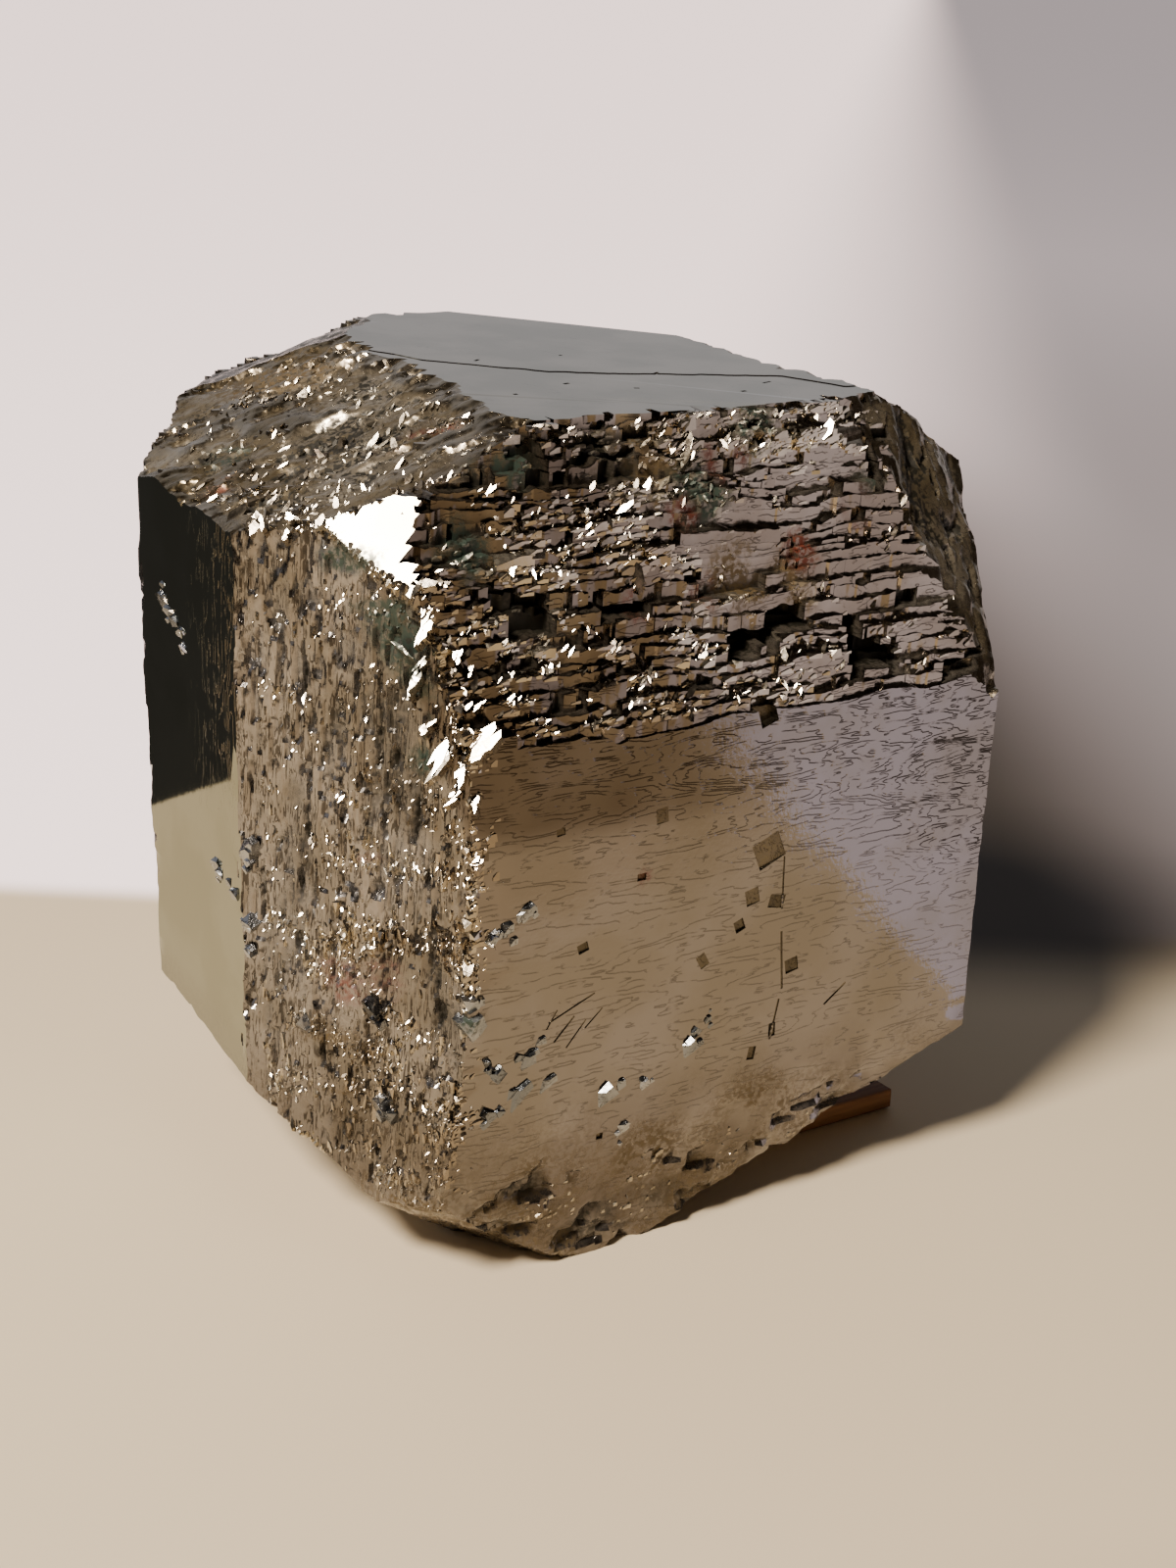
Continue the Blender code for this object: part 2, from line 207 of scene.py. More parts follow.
# a face's sheet as a closed slab: one more line on its plane far out on each side, straight
# walls down from that rim, and one flat face behind
def closedSlab(name, sheet, material, sink=0.0):
    across, up, out, reach = faceFrame(name)
    u, w = np.pad(sheet @ across, 1, mode="edge"), np.pad(sheet @ up, 1, mode="edge")
    u[0], u[-1] = -farOut, farOut
    w[:, 0], w[:, -1] = -farOut, farOut
    front = facePoints(name, u, w, sink)
    front[1:-1, 1:-1] = sheet
    spot = np.arange(u.size).reshape(u.shape)
    quads = np.stack([spot[:-1, :-1], spot[1:, :-1], spot[1:, 1:], spot[:-1, 1:]], -1)
    rim = np.r_[spot[:, 0], spot[-1, 1:], spot[-2::-1, -1], spot[0, -2:0:-1]]
    edge = front.reshape(-1, 3)[rim]
    rear = edge - (edge @ out - (reach - sink - slabThickness))[:, None] * out
    k = np.arange(len(rim))
    after = (k + 1) % len(rim)
    walls = np.stack([rim[after], rim[k], u.size + k, u.size + after], -1)
    faces = quads.reshape(-1, 4).tolist() + walls.tolist() + [(u.size + k[::-1]).tolist()]
    return newPiece(name, np.vstack([front.reshape(-1, 3), rear]), faces, material)


# the same from relief: depth in mm under the face or the plane sunk from it
def slabOf(name, u, w, depth, material, sink=0.0):
    sheet = facePoints(name, u, w, sink) - depth[..., None] * faceFrame(name)[2]
    return closedSlab(name, sheet, material, sink)


# growth layers: smooth noise cut into flat levels that end in thin ragged steps, drawn out
# along the first direction by stretch; depth in mm, 0 on the highest
def growthLayers(u, w, levels, step, grain, stretch, seed):
    height = rugged(u / stretch, w, grain, seed) * levels
    part = height - np.floor(height)
    depth = -step * (np.floor(height) + between(part, 0.8, 1.0))
    return depth - depth.min()


frontPattern = {
    "acrossGap": 0.8, "upGap": 0.66,
    "hemHeight": 20.0, "hemDepth": 2.0,         # below this height the face is lumpy
    "edgeWidth": 5.0, "edgeDepth": 0.9,         # rough strip beside the ribs
}


# front: thin growth layers, denser and deeper towards the upper right, a lumpy band at the
# bottom and a rough strip at the left edge; u is x and w is z here
def frontRelief(u, w):
    s = frontPattern
    calm = growthLayers(u, w, 14.0, 0.022, 15.0, 2.6, 3)
    rightward = between(u + w * 0.9, 62.0, 102.0)
    busy = growthLayers(u, w - u * 0.06, 20.0, 0.05, 9.0, 3.4, 8)
    depth = calm * 0.6 + busy * rightward * 0.5
    hem = between(w + 8.0 * (swell(u, w, 12, 4) - 0.5), s["hemHeight"], s["hemHeight"] - 12.0)
    lumps = 0.7 * rugged(u / 1.4, w, 5.0, 5) + 0.7 * rugged(u, w, 2.0, 6)
    holes = between(rugged(u / 1.5, w, 3.0, 9), 0.57, 0.66)
    depth += hem * (s["hemDepth"] * lumps + 0.9 * holes)
    margin = between(u, -30.0 + 3.0 * swell(u, w, 6, 14), -30.0 - s["edgeWidth"])
    depth += margin * s["edgeDepth"] * (rugged(u, w / 1.6, 3.2, 15) + 0.4 * swell(u, w, 1.4, 16))
    shelf = bricks(u, w, 5.0, 2.2, 12)
    return depth + between(u, 37.0, 42.0) * 0.4 * shelf * shelf


# deep openings in the front stairs: x, z, width, height, depth
stairHollows = (
    (-24.6, 80.6, 6.4, 3.4, 3.6), (-27.0, 82.6, 3.2, 2.2, 3.0), (-12.7, 79.6, 6.8, 2.6, 3.4),
    (-16.6, 80.8, 3.4, 2.0, 2.8), (3.4, 75.8, 6.6, 3.0, 4.4), (9.2, 77.2, 5.6, 2.4, 3.6),
    (6.4, 76.0, 3.0, 2.0, 4.0), (19.4, 72.2, 5.0, 4.8, 5.0), (22.6, 71.4, 4.4, 3.0, 4.2),
    (18.4, 75.2, 2.6, 2.6, 4.0), (33.4, 69.4, 6.6, 1.8, 3.0), (36.6, 70.2, 4.0, 1.4, 2.6),
    (3.3, 67.9, 2.6, 3.0, 2.6), (26.5, 91.5, 2.0, 5.6, 2.4), (-19.6, 95.0, 2.6, 4.6, 2.6),
    (-27.6, 94.8, 3.6, 2.4, 2.4), (-33.0, 90.0, 2.6, 1.8, 1.6), (-8.6, 96.4, 2.2, 2.4, 1.8),
    (27.6, 78.6, 3.0, 1.2, 1.8), (-31.0, 76.0, 4.4, 1.3, 1.8), (-5.0, 72.0, 3.6, 0.9, 1.4),
    (-20.0, 73.3, 5.4, 1.3, 1.8), (11.6, 84.0, 1.6, 2.6, 1.2), (-2.4, 82.6, 2.4, 1.0, 1.3),
    (30.5, 83.6, 3.2, 1.2, 1.6), (-14.0, 86.4, 1.4, 2.4, 1.6), (22.8, 86.8, 3.4, 1.0, 1.4),
)

# smooth windows among the stairs, where only thin layers show: x, z, half width, half height
smoothWindows = ((2.8, 84.6, 8.4, 3.4), (5.0, 88.6, 5.6, 1.9), (19.6, 92.6, 8.6, 3.4),
                 (-13.2, 87.2, 5.6, 1.8), (33.0, 79.6, 6.0, 2.2), (11.5, 71.4, 6.5, 1.5),
                 (-6.5, 83.8, 3.6, 1.6), (27.5, 74.4, 4.6, 1.3), (12.0, 94.0, 3.6, 1.6))


stairs = {
    "frontSteps": {"low": 66.5, "high": 101.5, "steps": 32, "gap": 0.24, "sunk": 0.2,
                   "wander": 1.3, "ragged": 0.42, "sign": -1, "seed": 30,
                   "hollows": stairHollows, "windows": smoothWindows},
    "backSteps": {"low": 66.0, "high": 101.5, "steps": 20, "gap": 0.9, "sunk": 0.25,
                  "wander": 1.4, "ragged": 0.3, "sign": 1, "seed": 50,
                  "hollows": (), "windows": ()},
}


# stairs: risers stand upright and treads lie level; each step is a riser at one depth, from the
# height of the step below to its own, and both wander along x without crossing
def stairSlab(name):
    s = stairs[name]
    low, sign, seed = s["low"], s["sign"], s["seed"]
    out, reach = faceFrame(name)[2:]
    cornersX = faceCorners[name][:, 0]
    xs = np.arange(cornersX.min() - faceMargin, cornersX.max() + faceMargin, s["gap"])
    k = np.arange(s["steps"] + 1)
    share = np.cumsum(0.35 + 1.3 * dice(k, 0, seed))
    share -= share[0]
    base = low + (s["high"] - low) * share / share[-1]
    x, step = np.meshgrid(xs, k, indexing="ij")
    rise = np.broadcast_to(base, x.shape)
    calm, still = np.zeros_like(x), rise
    for wx, wz, wide, tall in s["windows"]:
        gap = np.hypot((x - wx) / wide, (rise - wz) / tall) + 0.3 * (rugged(x, rise, 3.0, 7) - 0.5)
        calm = np.where(gap < 1.0, 1.0, calm)
        still = np.where(gap < 1.0, wz + 0.12 * (rise - wz), still)
    wild = 0.22 + 0.45 * between(x, 2.0, -34.0) + 0.75 * between(rise, 91.5, 95.0)
    wild = np.clip(wild + 0.5 * (swell(x, rise, 7.0, seed + 1) - 0.5), 0.15, 1.2)
    wild *= 1 - 0.8 * calm
    # a lip's own height: long waves, short waves and, where growth is wild, sudden jumps
    jump = bricks(x + 1.6 * swell(x, rise, 1.2, seed), step, 4.6, 1.0, seed + 2)
    height = rise + s["wander"] * (rugged(x, step * 2.3, 11.0, seed + 3) - 0.5) * 2
    height += 1.2 * wild * (jump - 0.5) + s["ragged"] * 2 * (
        rugged(x, step * 5.7, 1.5, seed + 4) - 0.5) * (0.5 + wild)
    height = np.maximum.accumulate(height + 0.012 * step, axis=1) + 0.004 * step
    level = (reach - out[0] * x - out[2] * still) / out[1]
    # how far a riser stands back: broad hollows, small steps along it, a few deep notches
    blocky = bricks(x + 1.8 * swell(x, rise, 1.4, seed + 9), step, 3.1, 1.0, seed + 5)
    notch = bricks(x + swell(x, rise, 0.9, seed + 10), step, 1.6, 1.0, seed + 12)
    sunk = np.clip(rugged(x * 0.7, rise, 8.0, seed + 6) - 0.45, 0, 1) * 6.0 * wild
    sunk += 1.4 * wild * blocky ** 4 + 0.2 * swell(x, rise, 1.3, seed + 7)
    sunk += 1.2 * (notch > 0.91) * (0.2 + wild)
    sunk = sunk * (1 - 0.93 * calm) + s["sunk"]
    for hx, hz, wide, tall, deep in s["hollows"]:
        sway = 2.2 * (rugged(x, rise, 2.0, seed + 8) - 0.5)
        halfTall = tall / 2 * (0.5 + 1.0 * rugged(x, hz, 1.6, seed + 13))
        inside = (np.abs(x - hx + sway) < wide / 2) & (np.abs(rise - hz) < halfTall)
        sunk = np.where(inside, deep + 1.2 * (swell(x, rise, 1.2, 5) - 0.5), sunk)
    sunk *= between(rise, low + 1.2, low + 3.2)
    level = level - sign * sunk
    # rows from below: foot of riser, middle of riser, lip, and so on up the stairs
    foot = height[:, :-1]
    lip = height[:, 1:]
    face = level[:, 1:]
    belly = face - sign * 0.10 * (swell(x[:, 1:], step[:, 1:] * 2.3, 1.1, seed + 11) - 0.2)
    rowsZ = np.stack([foot, (foot + lip) / 2, lip], -1).reshape(len(xs), -1)
    rowsY = np.stack([face, belly, face], -1).reshape(len(xs), -1)
    rowsX = np.broadcast_to(xs[:, None], rowsZ.shape)
    sheet = np.stack([rowsX, rowsY, rowsZ], -1)[::-sign]
    return closedSlab(name, sheet, pyrite["pyriteStepped"])


# ribs: upright growth layers cut into slivers that each lie flat at a depth of their own, wide
# ones first and narrow ones on them, with ends at uneven heights
def ribRelief(u, w, width, length, deep, seed):
    depth = growthLayers(w, u, 12.0, deep * 0.22, 5.5, 3.2, seed + 6)
    for k, (wide, tall, part) in enumerate(((width, length, 0.55), (width / 2, length / 2, 0.3))):
        along = w + 2.6 * (swell(u, w, 2.0, seed + k) - 0.5)
        slide = u / wide + 1.2 * swell(u * 0.6, w, tall * 1.3, seed + 2 + k)
        column = np.floor(slide)
        row = np.floor(along / tall + 9.0 * dice(column, 0, seed + 1 + k))
        depth += deep * part * dice(column, row, seed + 4 + k) ** 2
        depth += 0.13 * wide * (dice(column, row, seed + 40 + k) - 0.5) * (slide - column - 0.5)
    gap = between(rugged(u * 2.2, w * 0.6, 2.4, seed + 20), 0.66, 0.74)
    return depth + deep * 0.7 * gap


plateSlant = 0.38           # radians


# slope: flat plates drawn out along a slant, finer plates on them, a few thin clefts, and broad
# swellings
def slopeRelief(u, w, lump, seed):
    c, s = math.cos(plateSlant), math.sin(plateSlant)
    a, b = w * c + u * s, u * c - w * s
    plates = growthLayers(a, b, 13.0, 0.15, 4.4, 2.6, seed)
    fine = growthLayers(a, b, 15.0, 0.05, 1.7, 3.0, seed + 20)
    cleft = between(rugged(a / 2.6, b, 1.5, seed + 30), 0.63, 0.7)
    rough = between(rugged(u, w, 9.0, seed + 40), 0.42, 0.58)
    return (plates + (fine * 1.4 + 0.6 * cleft + 0.6 * rugged(a / 2.0, b, 1.2, seed + 15)) * (
        0.35 + 0.65 * rough) + lump * rugged(u / 1.1, w / 1.6, 9.0, seed + 5))


# lumps: broad and fine swellings with small knobs on them
def lumpRelief(u, w, depth, grain, stretch, seed):
    coarse = rugged(u / stretch, w, grain, seed)
    knobs = between(rugged(u, w, grain * 0.4, seed + 4), 0.55, 0.75)
    return depth * (0.65 * coarse + 0.35 * rugged(u, w, grain * 0.4, seed + 7)) + 0.4 * knobs


# sRGB hex text to linear red, green, blue and 1
def linear(hexText):
    parts = [int(hexText[k:k + 2], 16) / 255 for k in (1, 3, 5)]
    return [p / 12.92 if p <= 0.04045 else ((p + 0.055) / 1.055) ** 2.4 for p in parts] + [1.0]


# links sources into a node's inputs, by name or number
def plug(node, links):
    for key, source in links.items():
        node.id_data.links.new(source, node.inputs[key])


# adds a node, fills in its settings (properties, or inputs by name or number), plugs in its
# links, and gives back the output asked for
def addNode(tree, kind, settings, links, give=0):
    node = tree.nodes.new("ShaderNode" + kind)
    inputs = [key for key in settings if isinstance(key, int) or key in node.inputs]
    for key in settings:
        if key not in inputs:
            setattr(node, key, settings[key])
    for key in inputs:
        node.inputs[key].default_value = settings[key]
    plug(node, links)
    return node.outputs[give]


# settings that many nodes share
smooth = {"interpolation_type": "SMOOTHSTEP"}
colours = {"data_type": "RGBA"}
times, plus, minus = {"operation": "MULTIPLY"}, {"operation": "ADD"}, {"operation": "SUBTRACT"}
largest = {"operation": "MAXIMUM"}


# a new material, its shader, and the function that adds a node to it
def newMaterial(name):
    material = bpy.data.materials.new(name)
    material.use_nodes = True
    tree = material.node_tree
    return material, tree.nodes["Principled BSDF"], functools.partial(addNode, tree)


# Pyrite, an iron sulphide: a metal, so its colour is the tint of its mirror, pale brass under a
# grey skin of tarnish. Each finish is one way that its faces grew.
# lines: thin steps of growth, the level lines of noise stretched by lineStretch; lineLevels of
# them, lineShift mm thick, and calm is how much of them shows where growth was calm
pyriteUsual = {"lineStretch": (0.6, 0.6, 0.8), "lineShift": (0.1, 0.1, 0.1), "lineLevels": 6,
               "lines": 0.6, "calm": 1.0, "bump": 0.3}
pyriteFinishes = {
    # growth mirror: flat, nearly flawless, cold and bright, with hair cracks
    "pyriteMirror": {"pale": "#BDB9AB", "tarnish": "#AAA99B", "gloss": 0.03, "dull": 0.07,
                     "lineStretch": (0.3, 0.3, 0.3), "lineLevels": 3, "lines": 0.12, "bump": 0.03},
    # side mirror: the same, crazed by upright golden hair cracks where growth was busy
    "pyriteSideMirror": {"pale": "#999C8F", "tarnish": "#909384", "gloss": 0.03, "dull": 0.06,
                         "lineStretch": (0.8, 0.8, 0.12), "lineShift": (0.0, 0.06, 0.02),
                         "lineLevels": 4, "lines": 0.75, "calm": 0.0, "bump": 0.05,
                         "lineColour": "#8C734C"},
    # growth layers: bright plates between thin dark ragged steps
    "pyriteLayered": {"pale": "#8B8787", "tarnish": "#837E79", "gloss": 0.03, "dull": 0.09,
                      "lineStretch": (0.1, 0.1, 0.6), "lineShift": (0.06, 0.0, 0.15),
                      "lineLevels": 8, "lines": 0.92, "calm": 0.42, "bump": 0.5},
    # stairs: bright plates, dark roots
    "pyriteStepped": {"pale": "#9C958C", "tarnish": "#857C71", "gloss": 0.08, "dull": 0.2,
                      "lineStretch": (0.2, 0.2, 0.8), "lineShift": (0.05, 0.0, 0.12),
                      "lines": 0.7, "bump": 0.25},
    # ribs: upright slivers
    "pyriteRibbed": {"pale": "#979493", "tarnish": "#7A7671", "gloss": 0.14, "dull": 0.3,
                     "lineStretch": (1.1, 1.1, 0.13), "lineShift": (0.1, 0.1, 0.05),
                     "lineLevels": 9, "lines": 0.75},
    # slope: plates, half bright and half earthy
    "pyritePlated": {"pale": "#B2A896", "tarnish": "#8C7F66", "gloss": 0.12, "dull": 0.3,
                     "lineStretch": (0.35, 0.8, 0.35), "lineShift": (0.08, 0.08, 0.06)},
    # grains and chips: fresh little faces, bright
    "pyriteGrain": {"pale": "#C6BFB0", "tarnish": "#978D7F", "gloss": 0.10, "dull": 0.22,
                    "lineLevels": 3, "lines": 0.1, "bump": 0.12},
    # single crystals: silver grey, cold
    "pyriteCrystalFresh": {"pale": "#A6AAB0", "tarnish": "#70757B", "gloss": 0.12, "dull": 0.28,
                           "lineLevels": 8},
    # pit floors: matt and darker
    "pyritePit": {"pale": "#6E675A", "tarnish": "#565044", "gloss": 0.25, "dull": 0.45,
                  "lineStretch": (1.2, 1.2, 1.2), "lineShift": (0.1, 0.0, 0.1),
                  "lines": 0.5, "bump": 0.4},
    # broken growth: lumpy and matt
    "pyriteRough": {"pale": "#948D80", "tarnish": "#746B5E", "gloss": 0.22, "dull": 0.42,
                    "lineStretch": (0.5, 0.5, 0.8), "lineShift": (0.1, 0.1, 0.12), "bump": 0.4},
}
stainColours = {
    "rust": "#6A3426",          # iron oxide, red-brown and earthy
    "dirt": "#5E5038",          # ochre dust and iron sulphate
    "buried": "#1D1B13",        # painted shade: near black deep between the plates, where light does not reach
    "film": "#34413A",          # dark green-grey film
    "crack": "#211B14",         # dirt and shadow in a thin crack
    "old": "#483D31",           # painted darker reflection, brown, still a mirror
}


def pyriteMaterial(name):
    s = pyriteUsual | pyriteFinishes[name]
    material, shader, add = newMaterial(name)
    place = add("TexCoord", {}, {}, "Object")
    inMm = add("Mapping", {"Scale": (1000, 1000, 1000)}, {"Vector": place})
    mark = {key: add("Attribute", {"attribute_name": key}, {}, "Fac")
            for key in ("rust", "film", "dirt", "buried", "busy", "old")}
    # tarnish clouds about 12 mm wide; pores and dust about 0.6 mm, coarser than real to show
    cloud = add("TexNoise", {"Scale": 0.08, "Detail": 4.0}, {"Vector": inMm})
    pores = add("TexNoise", {"Scale": 1.6, "Detail": 3.0}, {"Vector": inMm})
    speckle = add("MapRange", smooth | {1: 0.4, 2: 0.6}, {0: pores})
    # a step runs where the level number of the noise differs from that a little way off
    moved = add("Mapping", {"Location": s["lineShift"]}, {"Vector": inMm})
    levels = []
    for spot in (inMm, moved):
        drawn = add("Mapping", {"Scale": s["lineStretch"]}, {"Vector": spot})
        noise = add("TexNoise", {"Scale": 0.35, "Detail": 5.0, "Roughness": 0.52},
                    {"Vector": drawn})
        often = add("Math", plus | {1: 1.0}, {0: mark["busy"]})
        number = add("Math", times | {1: 2.0 * s["lineLevels"]}, {0: noise})
        number = add("Math", times, {0: number, 1: often})
        levels.append(add("Math", {"operation": "FLOOR"}, {0: number}))
    gap = add("Math", minus, {0: levels[0], 1: levels[1]})
    gap = add("Math", {"operation": "ABSOLUTE"}, {0: gap})
    # patches about 2 mm wide where the steps show; elsewhere they have healed
    patches = add("TexNoise", {"Scale": 0.45, "Detail": 3.0}, {"Vector": inMm})
    patchy = add("MapRange", smooth | {1: 0.38, 2: 0.54}, {0: patches})
    amount = add("Math", plus | {1: s["calm"], "use_clamp": True}, {0: mark["busy"]})
    patchy = add("Math", times, {0: patchy, 1: amount})
    line = add("Math", {"operation": "MINIMUM", 1: 1.0}, {0: gap})
    line = add("Math", times, {0: line, 1: patchy})
    line = add("Math", times | {1: s["lines"]}, {0: line})
    # colour: two tones of tarnish, then a painted darker reflection, lines, painted shade deep
    # between the plates, and stains and dust
    pale = add("MapRange", smooth | {1: 0.38, 2: 0.62}, {0: cloud})
    tint = add("Mix", colours | {6: linear(s["pale"]), 7: linear(s["tarnish"])}, {0: pale}, 2)
    # the painted darker reflection
    tint = add("Mix", colours | {7: linear(stainColours["old"])}, {0: mark["old"], 6: tint}, 2)
    lineColour = linear(s.get("lineColour", stainColours["crack"]))
    tint = add("Mix", colours | {7: lineColour}, {0: line, 6: tint}, 2)
    earthy = line if "lineColour" in s else None
    # the first of these, deep between the plates, is painted shade; dirt, film and rust are stains
    for key, base in (("buried", 1.0), ("dirt", 0.3), ("film", 0.6), ("rust", 0.35)):
        broken = add("Math", plus | {1: base}, {0: speckle})
        amount = add("Math", times | {"use_clamp": True}, {0: mark[key], 1: broken})
        tint = add("Mix", colours | {7: linear(stainColours[key])}, {0: amount, 6: tint}, 2)
        earthy = amount if earthy is None else add("Math", largest, {0: earthy, 1: amount})
    rough = add("MapRange", {1: 0.35, 2: 0.7, 3: s["gloss"], 4: s["dull"]}, {0: pores})
    matt = add("Math", times | {1: 0.55}, {0: earthy})
    rough = add("Math", largest, {0: rough, 1: matt})
    metal = add("MapRange", {1: 0.0, 2: 1.0, 3: 1.0, 4: 0.25}, {0: earthy})
    # bump: pores and the stretched noise itself, less the thin steps
    raised = add("Math", times | {1: 0.3}, {0: pores})
    raised = add("Math", plus, {0: raised, 1: noise})
    raised = add("Math", minus, {0: raised, 1: line})
    bump = add("Bump", {"Strength": s["bump"], "Distance": 0.1 * mm}, {"Height": raised})
    plug(shader, {"Base Color": tint, "Roughness": rough, "Metallic": metal, "Normal": bump})
    return material


pyrite = {name: pyriteMaterial(name) for name in pyriteFinishes}
print("pyrite finishes ready:", len(pyrite))


# smooth faces: face, sink below the solid's plane in mm, finish
smoothFaces = (
    ("top", 0.0, "pyriteMirror"), ("left", 0.0, "pyriteSideMirror"),
    ("right", 0.0, "pyriteLayered"), ("rest", 0.0, "pyriteRough"),
    ("leftCorner", 0.15, "pyriteMirror"), ("backRightCorner", 0.0, "pyriteLayered"),
)
# plated faces: face, gap of lines, lump, seed
platedFaces = (
    ("leftSlope", 0.38, 0.6, 61), ("rightSlope", 0.7, 0.7, 65),
    ("rightCorner", 0.5, 0.9, 161), ("rightCornerUpper", 0.5, 0.9, 165),
)
# ribbed faces: face, gap of lines across and up, sliver width, sliver length, depth, seed
ribbedFaces = (
    ("leftRibs", 0.295, 0.47, 1.0, 5.0, 0.8, 70), ("rightRibs", 0.7, 1.1, 1.7, 8.0, 0.4, 74),
    ("backLeftRibs", 0.7, 1.1, 1.8, 8.0, 0.9, 78), ("backRightRibs", 0.7, 1.1, 1.8, 8.0, 0.8, 82),
)
# lumpy faces: face, gap of lines, depth, grain, stretch, seed
lumpyFaces = (
    ("leftFoot", 0.8, 1.9, 6.0, 1.2, 121), ("rightFoot", 1.0, 1.9, 8.0, 1.3, 124),
    ("frontFoot", 0.55, 1.1, 4.0, 1.0, 127), ("cornerFoot", 0.5, 1.4, 4.5, 1.0, 136),
    ("backFoot", 0.9, 1.6, 5.0, 2.4, 130), ("backLeftCorner", 0.7, 1.3, 6.0, 2.0, 133),
)


def makeSlabs():
    u, w = linesOver("front", frontPattern["acrossGap"], frontPattern["upGap"])
    slabs = [slabOf("front", u, w, frontRelief(u, w), pyrite["pyriteLayered"])]
    slabs += [stairSlab(name) for name in stairs]
    for name, gap, lump, seed in platedFaces:
        u, w = linesOver(name, gap, gap)
        depth = slopeRelief(u, w, lump, seed) * clearOfCorner(name, u, w)
        slabs.append(slabOf(name, u, w, depth, pyrite["pyritePlated"]))
    for name, acrossGap, upGap, *ribs in ribbedFaces:
        u, w = linesOver(name, acrossGap, upGap)
        depth = ribRelief(u, w, *ribs) * clearOfCorner(name, u, w)
        slabs.append(slabOf(name, u, w, depth, pyrite["pyriteRibbed"]))
    u, w = linesOver("back", 1.2, 1.1)
    slabs.append(slabOf("back", u, w, growthLayers(u, w, 24, 0.08, 13.0, 3.0, 90),
                        pyrite["pyriteLayered"]))
    for name, sink, finish in smoothFaces:
        u, w = linesOver(name, 2.5, 2.5)
        slabs.append(slabOf(name, u, w, 0.03 * swell(u, w, 14.0, 100), pyrite[finish], sink))
    for name, gap, *lumps in lumpyFaces:
        u, w = linesOver(name, gap, gap)
        slabs.append(slabOf(name, u, w, lumpRelief(u, w, *lumps), pyrite["pyriteRough"]))
    return slabs


# the far part of the top stands proud by depth; x and y of the step between, in mm
topStep = {
    "depth": 0.1, "ragged": 0.45,
    "line": ((-60.0, 18.6), (-21.0, 17.4), (-17.3, 12.4), (-15.4, 8.3), (-9.1, 2.5), (-3.5, -1.9),
             (3.1, -4.9), (15.0, -8.6), (24.3, -12.3), (28.2, -19.1), (60.0, -22.0)),
}


# x and y at every third of a millimetre along the step
def topStepLine():
    knots = np.array(topStep["line"])
    run = np.r_[0, np.cumsum(np.hypot(*np.diff(knots, axis=0).T))]
    t = np.arange(0, run[-1], 0.33)
    x, y = np.interp(t, run, knots[:, 0]), np.interp(t, run, knots[:, 1])
    return np.stack([x, y + topStep["ragged"] * 2 * (rugged(t, 0, 2.6, 400) - 0.5)], -1)


# a closed prism over the near part of the top: outline, its copy above, and walls
def makeTopCutter():
    outline = np.vstack([topStepLine(), [(60.0, -60.0), (-70.0, -60.0)]])[::-1]
    count = len(outline)
    base = np.c_[outline, np.full(count, crystalFaces["top"][1] - topStep["depth"])]
    k = np.arange(count)
    after = (k + 1) % count
    walls = np.stack([k, after, after + count, k + count], -1)
    faces = walls.tolist() + [k[::-1].tolist(), (k + count).tolist()]
    return newPiece("topCutter", np.vstack([base, base + (0, 0, 6.0)]), faces,
                    pyrite["pyriteMirror"])


# small pits sunk in a face: face, u, w, width, height, depth in mm, turn in degrees
pits = {
    "front": (
        (-9.7, 57.3, 2.0, 1.9, 0.14, 8), (-12.1, 50.1, 1.2, 0.9, 0.4, 0),
        (5.8, 50.1, 3.9, 3.6, 0.28, 24), (4.0, 44.5, 1.9, 2.1, 0.2, 14),
        (7.7, 43.2, 2.3, 1.7, 0.2, -12), (2.5, 41.0, 1.4, 1.6, 0.4, 22),
        (11.0, 34.0, 1.9, 1.9, 0.25, 12), (-19.4, 42.7, 1.4, 1.2, 0.3, 18),
        (-23.3, 57.6, 1.1, 0.9, 0.2, 10), (3.7, 67.4, 2.4, 2.6, 1.4, 20),
        (-15.2, 17.0, 0.9, 0.9, 0.6, 0), (9.0, 25.6, 1.0, 1.9, 0.3, 4),
        (6.2, 23.0, 1.1, 1.8, 0.3, -8), (-2.2, 37.6, 1.9, 1.9, 0.08, 30),
        (-18.3, 36.2, 11.0, 0.22, 0.12, 23), (-20.5, 33.6, 6.0, 0.25, 0.12, 48),
        (-18.8, 32.8, 6.5, 0.2, 0.12, 52), (-16.6, 34.0, 5.0, 0.2, 0.1, 44),
        (-22.6, 35.0, 4.0, 0.2, 0.1, 60), (18.8, 28.8, 5.0, 0.3, 0.15, 38),
        (8.4, 45.5, 0.25, 7.0, 0.15, 4), (9.4, 35.0, 0.3, 8.0, 0.15, 7),
        (9.2, 27.0, 0.3, 5.5, 0.15, -8)),
    "left": ((12.1, 47.3, 1.6, 2.4, 0.7, 10),),
    "back": (
        (-8.0, 66.0, 4.0, 3.0, 0.5, 12), (12.0, 50.0, 2.6, 2.2, 0.4, 30),
        (-20.0, 38.0, 1.8, 2.0, 0.4, 8)),
    "top": (
        (-5.0, -8.5, 0.9, 0.5, 0.3, 12), (2.0, -13.0, 0.7, 0.4, 0.3, -20),
        (9.0, -6.5, 1.4, 0.4, 0.3, 30), (14.0, -18.0, 0.8, 0.5, 0.3, 8),
        (-9.0, 6.0, 1.2, 0.4, 0.25, 35), (20.0, -14.5, 1.6, 0.35, 0.25, 18),
        (-14.0, -12.0, 0.6, 0.5, 0.25, 5), (3.0, 6.0, 0.5, 0.4, 0.2, 10)),
}


